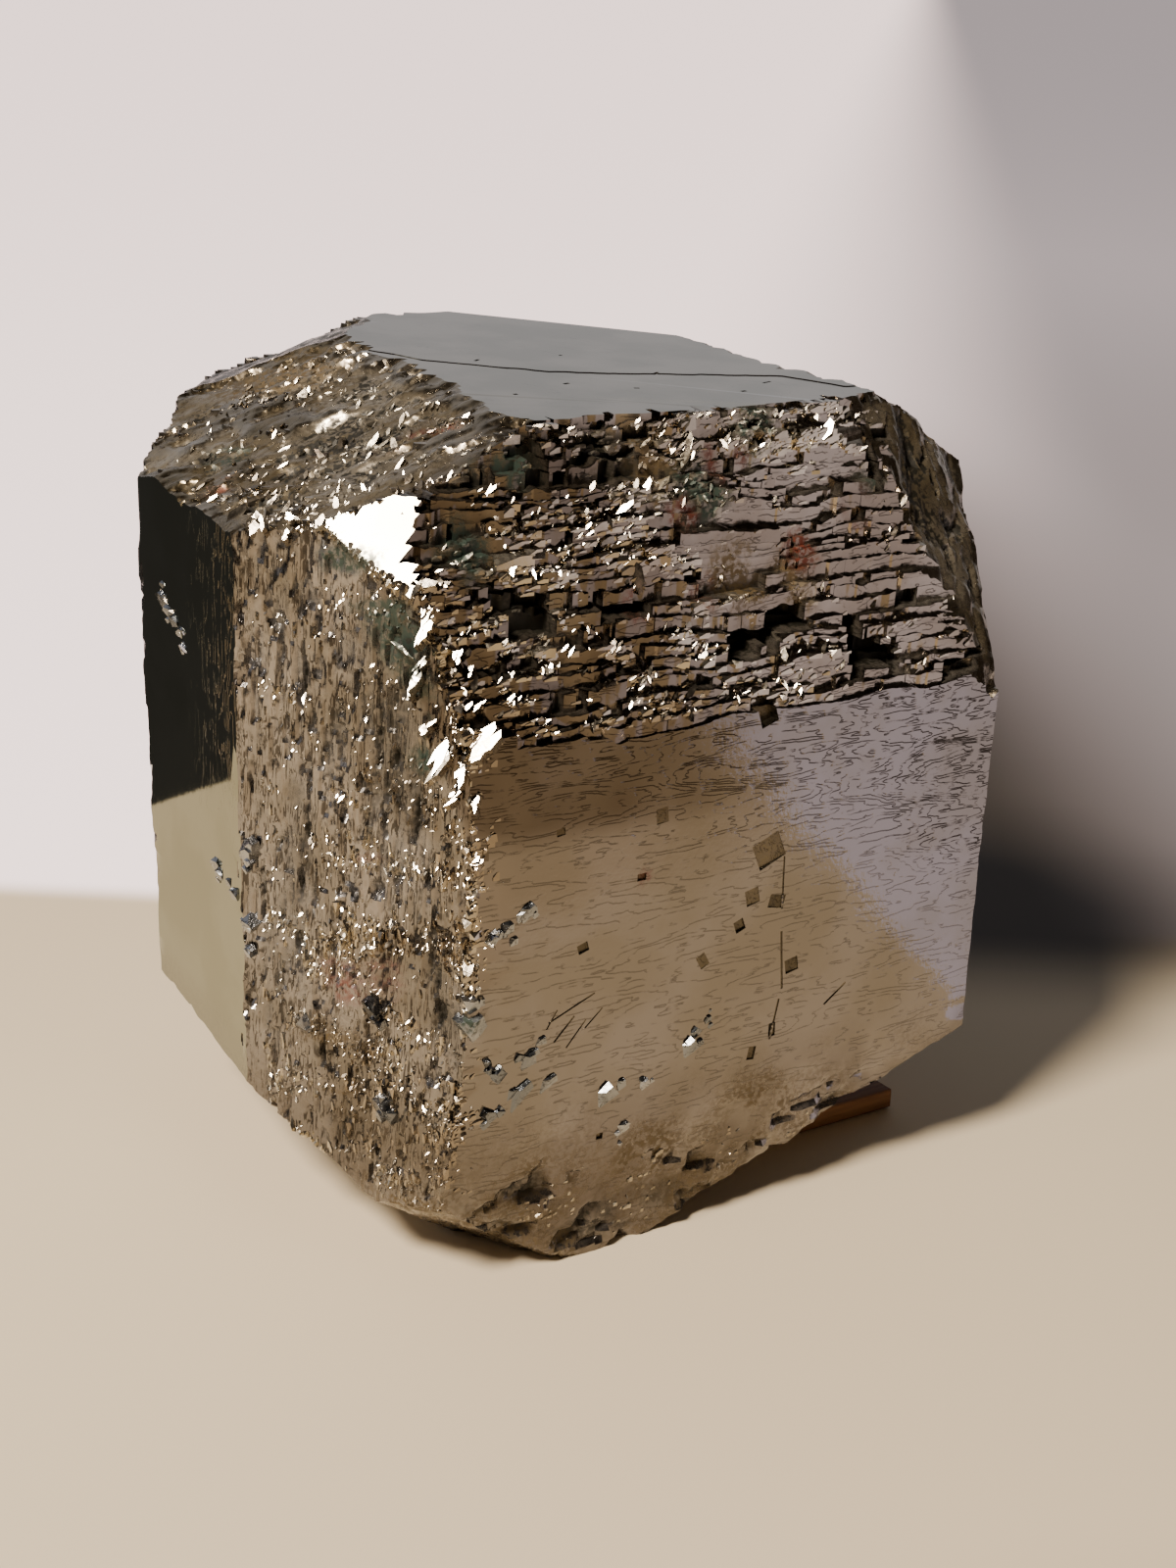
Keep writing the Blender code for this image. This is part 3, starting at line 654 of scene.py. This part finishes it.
# boxes, turned in their faces: corner = middle + first * a + second * b + out * c
def makePitCutter():
    points, faces = [], []
    for face, row in [(face, row) for face in pits for row in pits[face]]:
        u, w, wide, tall, deep, turn = row
        across, up, out, reach = faceFrame(face)
        angle = math.radians(turn)
        first = across * math.cos(angle) + up * math.sin(angle)
        second = up * math.cos(angle) - across * math.sin(angle)
        middle = out * reach + across * u + up * w
        a, b, c = (line.reshape(-1, 1) for line in np.meshgrid(
            [-wide / 2, wide / 2], [-tall / 2, tall / 2], [-deep, 3.0], indexing="ij"))
        lean = 0.08 * a * (c < 0)                       # the pit's floor leans a little
        start = 8 * len(points)
        points.append(middle + a * first + b * second + (c + lean) * out)
        faces += [[start + k for k in loop] for loop in (
            (0, 1, 3, 2), (4, 6, 7, 5), (0, 4, 5, 1), (2, 3, 7, 6), (0, 2, 6, 4), (1, 5, 7, 3))]
    return newPiece("pitCutter", np.vstack(points), faces, pyrite["pyritePit"])


# the slabs' common part less the cutters; edges sharper than the limit stay crisp
def commonPart(slabs, cutters, name, sharp=math.radians(24)):
    body = slabs[0]
    for slab in slabs[1:] + cutters:
        cut = body.modifiers.new(slab.name, "BOOLEAN")
        cut.object = slab
        cut.operation = "DIFFERENCE" if slab in cutters else "INTERSECT"
        cut.solver = "MANIFOLD"
        cut.material_mode = "TRANSFER"
    seen = body.evaluated_get(bpy.context.evaluated_depsgraph_get())
    mesh = bpy.data.meshes.new_from_object(seen)
    for tool in slabs + cutters:
        bpy.data.objects.remove(tool, do_unlink=True)
    mesh.shade_smooth()
    mesh.set_sharp_from_angle(angle=sharp)
    return placed(name, mesh)


crystal = commonPart(makeSlabs(), [makeTopCutter(), makePitCutter()], "pyriteCrystal")
print("crystal body:", len(crystal.data.vertices), "points", len(crystal.data.loops)
      - 2 * len(crystal.data.polygons), "triangles")


# where stains sit, in mm, and how far they reach
stains = {
    "rust": (((4.5, -28.3, 93.5), 2.2), ((6.5, -28.0, 94.0), 1.6), ((22.9, -31.4, 87.6), 2.2),
             ((13.0, -33.6, 83.7), 2.2), ((-1.0, -34.6, 80.5), 1.8), ((-30.2, -11.0, 94.8), 1.9),
             ((-28.1, -13.6, 95.8), 2.4), ((-26.3, -16.6, 96.7), 2.0), ((-34.0, -2.0, 93.0), 1.8),
             ((-44.4, 1.9, 88), 1.8), ((-41.5, -26.3, 36.2), 2.6), ((-39.3, -31.5, 38.6), 2.4),
             ((-40.2, -29.2, 49.5), 2.4), ((-41, -24, 36), 2.0), ((-2.5, -31.0, 88.6), 1.8),
             ((-12.0, -42, 50.0), 0.8), ((-11.0, -36.2, 80.6), 1.6)),
    "film": (((-42.8, -23.3, 86.0), 2.6), ((-41.5, -26.5, 83.6), 3.2), ((-40.0, -30.0, 81.0), 3.4),
             ((-39.2, -31.8, 78.0), 3.2), ((-38.6, -33.5, 74.5), 2.4), ((-36.6, -35.5, 70), 2.6),
             ((-24, -26, 95), 3.4), ((0.3, -29.8, 90.8), 3.4), ((9.5, -26.8, 96.3), 3.4),
             ((-37, -35, 66), 2.4), ((-40.1, 10.5, 90), 3.0), ((-31, -31, 87), 3.2),
             ((-33.6, -42, 36), 1.6), ((24.5, -31.0, 89.6), 2.2)),
    "dirt": (((-6.0, -28, 94.2), 4.0), ((3.6, -35, 80.8), 4.4), ((10.0, -35, 80.0), 3.4),
             ((-30, 20, 94), 9.0), ((-8, -42, 12), 5.0), ((-24, -42, 11), 5.0),
             ((8, -42, 14), 6.0), ((-38, -36, 12), 5.0), ((-42, -25, 24), 6.0)),
}


# how near the stains each point is, broken up by noise
def stainAmount(points, name):
    total = np.zeros(len(points))
    for spot, wide in stains[name]:
        gap = np.linalg.norm(points - spot, axis=1) / wide
        total = np.maximum(total, np.clip(1.5 - gap, 0, 1))
    x, y, z = points.T
    return total * between(rugged(x + y * 0.4, z + y * 0.3, 3.0, 200), 0.38, 0.58)


# painted shade deep in the hollows: 0 for points within 1.3 mm of the crystal's flat faces, rising
# to 1 from 2.9 mm under them on
def deepShadeAmount(points):
    return between(underFaces(points).min(1), 1.3, 2.9)


# growth is busy, with twice the steps, at the front's upper right and the left face's near edge
def busyAmount(points):
    x, y, z = points.T
    front = between(y, -38.0, -41.0)
    right = between(x + 0.6 * z, 48.0, 64.0) * between(z, 36.0, 50.0) * front
    right = np.maximum(right, 0.5 * front * between(z + 0.2 * x, 48.0, 62.0))
    side = between(y, 4.0, -7.0) * between(x, -46.0, -46.8) * between(z, 44.0, 58.0)
    return np.maximum(right, side)


# a painted darker reflection on the left part of the front stairs and, in patches, a darker tint
# low on the front
def darkerReflectionAmount(points):
    x, y, z = points.T
    under = underFaces(points)[:, faceNames.index("frontSteps")]
    stairs = between(under, 6.5, 5.0) * between(x, 9.0, -16.0) * between(z, 98.6, 97.8)
    hem = between(z, 26.0, 8.0) * between(rugged(x, z, 7.0, 220), 0.35, 0.6)
    return np.maximum(0.8 * stairs * (0.6 + 0.4 * swell(x, z, 5.0, 221)), 0.6 * hem)


# a piece's points in mm
def pointsOf(piece):
    points = np.zeros(len(piece.data.vertices) * 3)
    piece.data.vertices.foreach_get("co", points)
    return points.reshape(-1, 3) / mm


def markPiece(piece):
    points = pointsOf(piece)
    x, y, z = points.T
    low = between(z, 24.0, 6.0) * between(rugged(x + y, z, 5.0, 210), 0.3, 0.62)
    values = {"rust": stainAmount(points, "rust"), "film": stainAmount(points, "film"),
              "dirt": np.maximum(stainAmount(points, "dirt"), 0.7 * low),
              "buried": deepShadeAmount(points), "busy": busyAmount(points),
              "old": darkerReflectionAmount(points) * (piece is crystal)}
    for name, value in values.items():
        layer = piece.data.attributes.new(name, "FLOAT", "POINT")
        layer.data.foreach_set("value", value.astype(np.float32))


markPiece(crystal)
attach(crystal, "root")
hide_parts("pyrite_crystal")


# a block with its near left upper corner cut off, as on the crystal; every grain is this block,
# stretched, tipped a little and moved
cutShare = 0.62
blockPoints = np.array([
    (-0.5, -0.5, -0.5), (0.5, -0.5, -0.5), (0.5, 0.5, -0.5), (-0.5, 0.5, -0.5),
    (0.5, -0.5, 0.5), (0.5, 0.5, 0.5), (-0.5, 0.5, 0.5),
    (-0.5 + cutShare, -0.5, 0.5), (-0.5, -0.5 + cutShare, 0.5), (-0.5, -0.5, 0.5 - cutShare)])
blockFaces = [
    (0, 3, 2), (0, 2, 1), (1, 2, 5), (1, 5, 4), (2, 3, 6), (2, 6, 5), (0, 1, 4), (0, 4, 7),
    (0, 7, 9), (3, 0, 9), (3, 9, 8), (3, 8, 6), (4, 5, 6), (4, 6, 8), (4, 8, 7), (7, 8, 9)]

# a chip: a thin blade with two pointed ends; its flat top and its base have one outline
chipOutline = np.array([(-0.5, 0.04), (-0.1, -0.46), (0.36, -0.34), (0.5, 0.1), (-0.05, 0.5)])
chipPoints = np.vstack([np.c_[chipOutline, np.full(5, -0.5)], np.c_[chipOutline, np.full(5, 0.5)]])
chipFaces = [(0, 4, 3), (0, 3, 2), (0, 2, 1), (5, 6, 7), (5, 7, 8), (5, 8, 9)] + [
    face for k in range(5) for face in (
        (k, (k + 1) % 5, 5 + (k + 1) % 5), (k, 5 + (k + 1) % 5, 5 + k))]


# turning matrices for many axes and angles at once: I + sin * K + (1 - cos) * K * K
def turnings(axes, angles):
    axes = axes / np.linalg.norm(axes, axis=1, keepdims=True)
    x, y, z = axes.T
    o = np.zeros_like(x)
    k = np.stack([o, -z, y, z, o, -x, -y, x, o], -1).reshape(-1, 3, 3)
    s, c = np.sin(angles)[:, None, None], np.cos(angles)[:, None, None]
    return np.eye(3) + s * k + (1 - c) * (k @ k)


# many copies of a shape in one mesh: point = spot + turn * (shape point * size); copies that
# stand out of the solid's box are left out
def copiesPiece(name, shape, shapeFaces, spots, sizes, turns, material):
    points = np.einsum("nij,nkj->nki", turns, shape[None] * sizes[:, None]) + spots[:, None]
    low, high = np.array(cadBox) / mm
    points = points[((points > low) & (points < high)).all((1, 2))]
    faces = np.array(shapeFaces)[None] + len(shape) * np.arange(len(points))[:, None, None]
    return newPiece(name, points.reshape(-1, 3), faces.reshape(-1, 3).tolist(), material)


# sown grains: face, how many, size in mm, how long against wide, tip in degrees
grainFields = {
    "frontSteps": (1900, 0.55, (1.5, 1.0, 0.7), 7.0),
    "leftRibs": (1300, 0.42, (0.8, 0.8, 1.7), 7.0),
    "leftSlope": (700, 0.50, (1.6, 0.8, 0.7), 8.0),
    "front": (420, 0.45, (1.1, 0.7, 0.8), 9.0),
    "backSteps": (350, 0.8, (1.3, 1.0, 0.8), 8.0),
}
# sown chips: face, how many, length in mm, width against length, tip and spin in degrees
chipFields = {
    "frontSteps": (800, 0.75, 0.32, 11.0, 30.0), "leftRibs": (2100, 0.32, 0.32, 16.0, 25.0),
    "leftSlope": (420, 0.7, 0.3, 14.0, 30.0), "front": (130, 0.5, 0.45, 14.0, 60.0),
}


# how thickly a face is sown with grains and chips at each point
def sowing(name, points):
    x, y, z = points.T
    weight = 0.05 + np.clip(rugged(x + y, z, 4.0, 500) - 0.42, 0, 1) * 4
    if name == "frontSteps":
        return weight * (between(x, 16.0, -14.0) + 0.07 + 1.6 * between(z, 92.0, 96.0))
    if name == "front":
        return weight * (between(x, -31.0, -34.5) + 0.2 * between(z, 13.0, 9.0))
    if name == "leftSlope":
        return weight * (0.35 + between(y, 0.0, -14.0))
    if name == "leftRibs":
        return weight * (0.3 + 0.8 * between(y, -24.0, -36.0) + 0.7 * between(z, 66.0, 50.0)
                         * between(z, 8.0, 30.0))
    return weight


bodyPoints = pointsOf(crystal)


# sown spots on a face: points of the body near it, drawn by chance with those weights
def sow(name, count, chance):
    k = faceNames.index(name)
    under = underFaces(bodyPoints)
    mine = np.flatnonzero(under.argmin(1) == k)
    weight = sowing(name, bodyPoints[mine]) * np.exp(-under[mine, k])
    return bodyPoints[chance.choice(mine, size=count, replace=False, p=weight / weight.sum())]


def makeGrains():
    chance = np.random.default_rng(77)
    spots, sizes, axes, angles = [], [], [], []
    for name, (count, usual, long, tip) in grainFields.items():
        size = usual * np.exp(chance.normal(0, 0.38, (count, 1)))
        size = size * long * np.exp(chance.normal(0, 0.25, (count, 3)))
        out = faceFrame(name)[2]
        deep = np.abs(size @ np.abs(out)) * chance.uniform(0.15, 0.42, count)
        spots.append(sow(name, count, chance) - out * deep[:, None])
        sizes.append(size)
        axes.append(chance.normal(0, 1, (count, 3)))
        angles.append(np.radians(chance.normal(0, tip, count)))
    turns = turnings(np.vstack(axes), np.concatenate(angles))
    return copiesPiece("grains", blockPoints, blockFaces, np.vstack(spots), np.vstack(sizes),
                       turns, pyrite["pyriteGrain"])


# big chips along the edge between ribs and stairs: x, y, z, length, width, spin in degrees
edgeChips = (
    (-37.6, -35.6, 80.4, 3.4, 1.2, 4), (-38.9, -32.7, 77.7, 2.8, 0.7, 70),
    (-37.9, -35.0, 76.0, 3.6, 1.0, -4), (-38.2, -34.2, 73.6, 1.8, 0.7, 8),
    (-37.4, -36.3, 70.2, 2.4, 1.3, -14), (-36.4, -38.6, 68.0, 5.6, 1.2, 0),
    (-34.0, -41.3, 69.3, 5.0, 2.7, -10), (-35.5, -40.7, 65.9, 2.6, 0.9, 4),
    (-35.8, -40.1, 63.3, 2.4, 0.8, -6), (-34.2, -41.8, 62.6, 1.6, 0.8, 20),
    (-35.0, -38.0, 78.0, 1.6, 0.7, 12), (-33.5, -38.6, 76.4, 1.8, 0.6, 0),
    (-33.0, -39.6, 73.0, 2.0, 0.7, -8), (-26.8, -42.0, 48.8, 1.2, 0.5, 40),
    (-29.6, -42.0, 47.4, 1.3, 0.5, -30), (-31.5, -42.0, 45.9, 0.9, 0.4, 60),
    (-47.9, 11.4, 72.2, 1.5, 0.6, 10), (-47.9, 9.6, 71.2, 1.0, 0.5, 60),
    (-47.9, 7.8, 70.6, 1.2, 0.5, 110), (-47.9, 5.8, 69.0, 0.8, 0.4, 30),
    (-46.6, -13.8, 87.3, 2.0, 1.3, 30), (-44.0, -16.5, 88.2, 1.8, 0.7, 90),
    (-43.2, -18.5, 87.6, 1.6, 0.5, 10), (-45.0, -17.0, 86.2, 1.7, 0.6, -10),
)


# chips lie with their flat tops parallel to the big corner face, long side up along it
def makeChips():
    chance = np.random.default_rng(79)
    out = faceFrame("leftCorner")[2]
    along = np.array([0.594, 0.223, 0.772])
    along = along - out * (along @ out)
    along /= np.linalg.norm(along)
    stance = np.array([along, np.cross(out, along), out]).T
    spots, sizes, spins, tips = [], [], [], []
    for name, (count, usual, narrow, tip, spin) in chipFields.items():
        long = usual * np.exp(chance.normal(0, 0.55, count))
        wide = long * narrow * np.exp(chance.normal(0, 0.3, count))
        thick = 0.5 + 0.3 * long
        spots.append(sow(name, count, chance)
                     - out * (thick * chance.uniform(0.1, 0.4, count))[:, None])
        sizes.append(np.stack([long, wide, thick], -1))
        spins.append(np.radians(chance.normal(0, spin, count)))
        tips.append(np.radians(chance.normal(0, tip, count)))
    big = np.repeat(np.array(edgeChips), 4, 0)      # each is a cluster of four blades
    many = len(big)
    shift = big[:, 3:5] * chance.uniform(-0.4, 0.4, (many, 2))
    turned = np.radians(big[:, 5])
    own = turnings(np.broadcast_to(out, (many, 3)), turned) @ stance
    spots.append(big[:, :3] + np.einsum("nij,nj->ni", own[:, :, :2], shift)
                 - out * chance.uniform(0.7, 1.0, many)[:, None])
    sizes.append(np.c_[big[:, 3:5] * chance.uniform(0.3, 0.8, (many, 2)), np.full(many, 1.9)])
    spins.append(turned + np.radians(chance.normal(0, 10.0, many)))
    tips.append(np.radians(chance.normal(0, 2.5, many)))
    spins, tips = np.concatenate(spins), np.concatenate(tips)
    tipping = turnings(chance.normal(0, 1, (len(tips), 3)), tips)
    turns = tipping @ turnings(np.broadcast_to(out, (len(spins), 3)), spins) @ stance
    return copiesPiece("chips", chipPoints, chipFaces, np.vstack(spots), np.vstack(sizes), turns,
                       pyrite["pyriteGrain"])


# single crystals, each a knot of one big block and smaller ones: face, u, w, size, how far it
# stands out, turn in degrees
singles = {
    "front": (
        (-3.4, 26.2, 2.5, 0.7, 40), (-15.0, 22.7, 2.9, 0.8, 38), (-26.7, 25.3, 3.8, 0.7, 30),
        (-25.9, 29.8, 2.6, 0.5, 15), (-29.8, 29.0, 1.8, 0.5, 50), (-9.5, 22.8, 1.2, 0.4, 25),
        (-12.0, 17.5, 1.2, 0.5, 25), (-30.6, 24.0, 2.0, 0.6, 60), (-33.0, 35.8, 2.4, 0.6, 20),
        (-1.0, 29.5, 1.2, 0.3, 10), (-27.2, 48.9, 1.9, 0.6, 30), (-29.6, 47.4, 1.7, 0.6, 10),
        (-31.4, 46.2, 1.3, 0.5, 60)),
    "left": (
        (-11.4, 72.0, 1.9, 0.5, 20), (-9.8, 71.0, 1.6, 0.5, 50), (-8.0, 70.4, 1.7, 0.5, 10),
        (-6.4, 69.4, 1.4, 0.5, 70), (-5.2, 67.8, 1.2, 0.4, 30), (3.1, 43.4, 1.7, 0.6, 35),
        (4.2, 42.2, 1.3, 0.5, 15), (8.7, 41.5, 1.6, 0.6, 5), (12.0, 39.1, 1.6, 0.6, 50),
        (11.6, 48.0, 2.0, 0.7, 70), (12.4, 35.5, 1.2, 0.5, 10)),
    "leftRibs": ((12.0, 34.0, 1.8, 0.6, 20), (2.0, 28.0, 1.6, 0.6, 50), (14.0, 22.0, 2.0, 0.6, 0)),
    "rightRibs": ((10.0, 62.0, 3.2, 0.9, 20), (-4.0, 45.0, 2.4, 0.8, 50)),
    "backLeftRibs": ((6.0, 72.0, 3.0, 1.0, 35),),
}


def makeSingles():
    spots, sizes, turns = [], [], []
    chance = np.random.default_rng(78)
    for face, row in [(face, row) for face in singles for row in singles[face]]:
        u, w, size, proud, turn = row
        across, up, out, reach = faceFrame(face)
        for share, away in ((1.0, 0.0), (0.6, 0.5), (0.45, 0.55), (0.5, 0.45)):
            axis = across * 2 + up + out * 0.4 + chance.normal(0, 0.5, 3)
            spin = np.radians(turn + chance.uniform(-30, 30) * (away > 0))
            stance = np.matmul(*turnings(np.array([axis, out]), np.array([0.35, spin])))
            width = size * share * chance.uniform(0.75, 1.2, 3)
            reachOut = np.abs(out @ stance) @ width / 2
            slide = away * size * chance.normal(0, 1, 2)
            spots.append(out * (reach + proud * share - reachOut) + across * (u + slide[0])
                         + up * (w + slide[1]))
            sizes.append(width)
            turns.append(stance)
    return copiesPiece("smallCrystals", blockPoints, blockFaces, np.array(spots), np.array(sizes),
                       np.array(turns), pyrite["pyriteCrystalFresh"])


for make in (makeGrains, makeChips, makeSingles):
    small = make()
    markPiece(small)
    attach(small, "root")
    print(small.name, len(small.data.polygons), "faces")


shimShape = {"left": 5.4, "right": 39.9, "front": -30.5, "wide": 21.0, "thick": 3.0}


# softwood, sawn and left bare: brown fibres along its length, matt
def woodMaterial():
    material, shader, add = newMaterial("sawnSoftwood")
    place = add("TexCoord", {}, {}, "Object")
    # fibres 17 mm long and 0.7 mm wide
    fibres = add("Mapping", {"Scale": (60, 1400, 1400)}, {"Vector": place})
    grain = add("TexNoise", {"Scale": 1.0, "Detail": 5.0, "Roughness": 0.6}, {"Vector": fibres})
    dark = add("MapRange", smooth | {1: 0.35, 2: 0.65}, {0: grain})
    tint = add("Mix", colours | {6: linear("#9C7049"), 7: linear("#7A5032")}, {0: dark}, 2)
    bump = add("Bump", {"Strength": 0.5, "Distance": 0.15 * mm}, {"Height": grain})
    plug(shader, {"Base Color": tint, "Normal": bump})
    shader.inputs["Roughness"].default_value = 0.65
    return material


# a rounded rectangle carried along x; its fibres stand in and out by a tenth of a millimetre,
# and the right end is snapped at a slant
def makeShim():
    s = shimShape
    turn = np.linspace(0, 2 * math.pi, 65)[:-1]
    halfWide, halfThick = s["wide"] / 2, s["thick"] / 2
    profile = np.stack([np.cos(turn), np.sin(turn)], -1)
    profile = np.sign(profile) * np.abs(profile) ** 0.12          # nearly square corners
    profile *= (halfWide, halfThick)
    along = np.linspace(s["left"], s["right"], 60)
    a, k = np.meshgrid(along, np.arange(len(turn)), indexing="ij")
    fibre = 0.14 * rugged(a / 14.0, k, 1.5, 300)
    y = s["front"] + halfWide + profile[k, 0] * (1 - fibre / halfWide)
    z = halfThick + profile[k, 1] * (1 - fibre * 0.5 / halfThick)
    z = np.clip(z, 0.0, s["thick"])
    share = (a - s["left"]) / (s["right"] - s["left"])
    x = a + share * (0.8 - 0.12 * (y - s["front"]) + 0.3 * swell(k, 0, 2.0, 310))
    points = np.stack([x, y, z], -1)
    spot = np.arange(a.size).reshape(a.shape)
    following = np.roll(spot, -1, axis=1)
    quads = np.stack([spot[:-1], spot[1:], following[1:], following[:-1]], -1).reshape(-1, 4)
    faces = quads[:, ::-1].tolist() + [spot[0].tolist(), spot[-1][::-1].tolist()]
    return newPiece("woodenShim", points.reshape(-1, 3), faces, woodMaterial())


shim = makeShim()
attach(shim, "root")
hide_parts("wooden_shim")
print("shim ready")


# painted board, pale cream and matt. Past the line of the wall's foot it is lilac white, a wall
# painted on the floor, with a painted glow that fades to the right and far off, and a painted
# shadow at its foot by the crystal; far left a painted dark patch stands for the dark room in
# reflections;
# in front it is darker tan, painted shade; right in front lies a lilac patch with a painted glow
floorTones = {
    # the front tone is painted shade, the shade tone a painted shadow, the dark tone a painted
    # dark patch; each glow is painted light
    "cream": "#EADBBF", "wall": "#BFBAC4", "glow": "#FFE3DB", "dark": "#191918",
    "litPatch": "#B9B4C0", "front": "#DCCAAC", "litPatchGlow": "#918888", "shade": "#3C352F",
    "farGlow": "#766C6B",
}
# areas of the floor, each the product of its edges: a direction, and the distances along it in
# metres where the area starts and is whole
floorAreas = {
    # in front: painted shade
    "front": [((-0.30, -0.954, 0.0), 0.096, 0.125)],
    # right in front: a lilac patch that gets a painted glow
    "litPatch": [((0.959, 0.281, 0.0), 0.0471, 0.0481), ((0.68, -0.733, 0.0), 0.0910, 0.0920)],
    "wall": [((0.509, 0.861, 0.0), 0.048, 0.056)],
    # the wall's foot right of the crystal: a painted shadow
    "shade": [((0.509, 0.861, 0.0), 0.022, 0.052), ((-0.509, -0.861, 0.0), -0.5, -0.3),
              ((0.848, -0.53, 0.0), 0.05, 0.07), ((-0.885, 0.466, 0.0), -0.188, -0.089)],
    # far left: a painted dark patch, standing for the dark room
    "dark": [((-0.975, 0.223, 0.0), 0.098, 0.102), ((0.243, 0.970, 0.0), 0.0822, 0.0834)],
    # where the wall's painted glow fades to the right, and far off
    "rightward": [((0.772, -0.659, 0.0), -0.05, 0.12)],
    "far": [((0.509, 0.861, 0.0), 0.15, 0.9)],
}


def floorMaterial():
    material, shader, add = newMaterial("paleBoard")
    place = add("TexCoord", {}, {}, "Object")
    area = {}
    for name, edges in floorAreas.items():
        for direction, low, high in edges:
            run = add("VectorMath", {"operation": "DOT_PRODUCT", 1: direction}, {0: place},
                      "Value")
            edge = add("MapRange", smooth | {1: low, 2: high}, {0: run})
            if name in area:
                edge = add("Math", times, {0: area[name], 1: edge})
            area[name] = edge
    tone = {name: linear(text) for name, text in floorTones.items()}
    black = [0.0, 0.0, 0.0, 1.0]
    # tint: cream, painted shade in front, the lilac patch, the wall, its painted shadow and the
    # painted dark patch
    tint = add("Mix", colours | {6: tone["cream"], 7: tone["front"]}, {0: area["front"]}, 2)
    for name in ("litPatch", "wall", "shade", "dark"):
        tint = add("Mix", colours | {7: tone[name]}, {0: area[name], 6: tint}, 2)
    # painted glow: the wall's, fading to the right and far off, and the lilac patch's; none in the
    # painted shadow and in the dark patch
    farGlow = add("Mix", colours | {6: black, 7: tone["farGlow"]}, {0: area["far"]}, 2)
    wallGlow = add("Mix", colours | {6: tone["glow"]}, {0: area["rightward"], 7: farGlow}, 2)
    glow = add("Mix", colours | {6: black, 7: tone["litPatchGlow"]}, {0: area["litPatch"]}, 2)
    glow = add("Mix", colours, {0: area["wall"], 6: glow, 7: wallGlow}, 2)
    unlit = add("Math", largest, {0: area["dark"], 1: area["shade"]})
    glow = add("Mix", colours | {7: black}, {0: unlit, 6: glow}, 2)
    plug(shader, {"Base Color": tint, "Emission Color": glow})
    shader.inputs["Emission Strength"].default_value = 2.0
    shader.inputs["Roughness"].default_value = 0.7
    return material


def makeFloor():
    ends = (-30000.0, 30000.0)
    return newPiece("floor", [(x, y, 0.0) for x in ends for y in ends], [[0, 2, 3, 1]],
                    floorMaterial())


makeFloor()

# light that the room gives by itself, by direction: a pale wall behind, a dark room in front
roomTones = {"wallLow": "#B4B1B4", "wallHigh": "#A3A2A6",
             "roomLow": "#332B25", "roomHigh": "#443E38"}


def makeWorld():
    world = bpy.data.worlds.new("softRoom")
    bpy.context.scene.world = world
    world.use_nodes = True
    add = functools.partial(addNode, world.node_tree)
    tone = {name: linear(text) for name, text in roomTones.items()}
    way = add("TexCoord", {}, {}, "Generated")
    ahead = add("SeparateXYZ", {}, {0: way}, "Y")
    upward = add("SeparateXYZ", {}, {0: way}, "Z")
    behind = add("MapRange", smooth | {1: 0.05, 2: 0.4}, {0: ahead})
    below = add("MapRange", smooth | {1: 0.85, 2: 0.65}, {0: upward})
    behind = add("Math", times, {0: behind, 1: below})
    high = add("MapRange", smooth | {1: 0.2, 2: 0.8}, {0: upward})
    wall = add("Mix", colours | {6: tone["wallLow"], 7: tone["wallHigh"]}, {0: high}, 2)
    room = add("Mix", colours | {6: tone["roomLow"], 7: tone["roomHigh"]}, {0: high}, 2)
    light = add("Mix", colours, {0: behind, 6: room, 7: wall}, 2)
    background = world.node_tree.nodes["Background"]
    plug(background, {"Color": light})
    background.inputs["Strength"].default_value = 1.0


makeWorld()

keyLamp = {"spot": (-0.532, -0.174, 0.700), "aim": (0.0, 0.0, 0.05), "size": 0.2, "power": 13.5,
           "colour": (1.0, 0.86, 0.70)}


def makeLamp():
    s = keyLamp
    light = bpy.data.lights.new("keyLamp", "AREA")
    light.shape = "DISK"
    light.size, light.energy, light.color = s["size"], s["power"], s["colour"]
    lamp = placed("keyLamp", light)
    lamp.location = s["spot"]
    way = Vector(s["aim"]) - Vector(s["spot"])
    lamp.rotation_euler = way.to_track_quat("-Z", "Y").to_euler()


makeLamp()

cameraPlace = {
    "spot": (-0.13997, -0.22322, 0.15105), "lens": 49.5,
    "right": (0.84646, -0.5288, 0.06232), "down": (-0.15082, -0.35037, -0.92439),
    "ahead": (0.51065, 0.77306, -0.37632),
}


def makeCamera():
    s = cameraPlace
    data = bpy.data.cameras.new("camera")
    data.lens = s["lens"]
    data.sensor_width = 36.0
    data.clip_start, data.clip_end = 0.01, 100.0
    camera = placed("camera", data)
    columns = [Vector(s["right"]), -Vector(s["down"]), -Vector(s["ahead"])]
    turn = Matrix(columns).transposed().to_4x4()
    camera.matrix_world = Matrix.Translation(s["spot"]) @ turn
    bpy.context.scene.camera = camera


makeCamera()
print("stage ready")
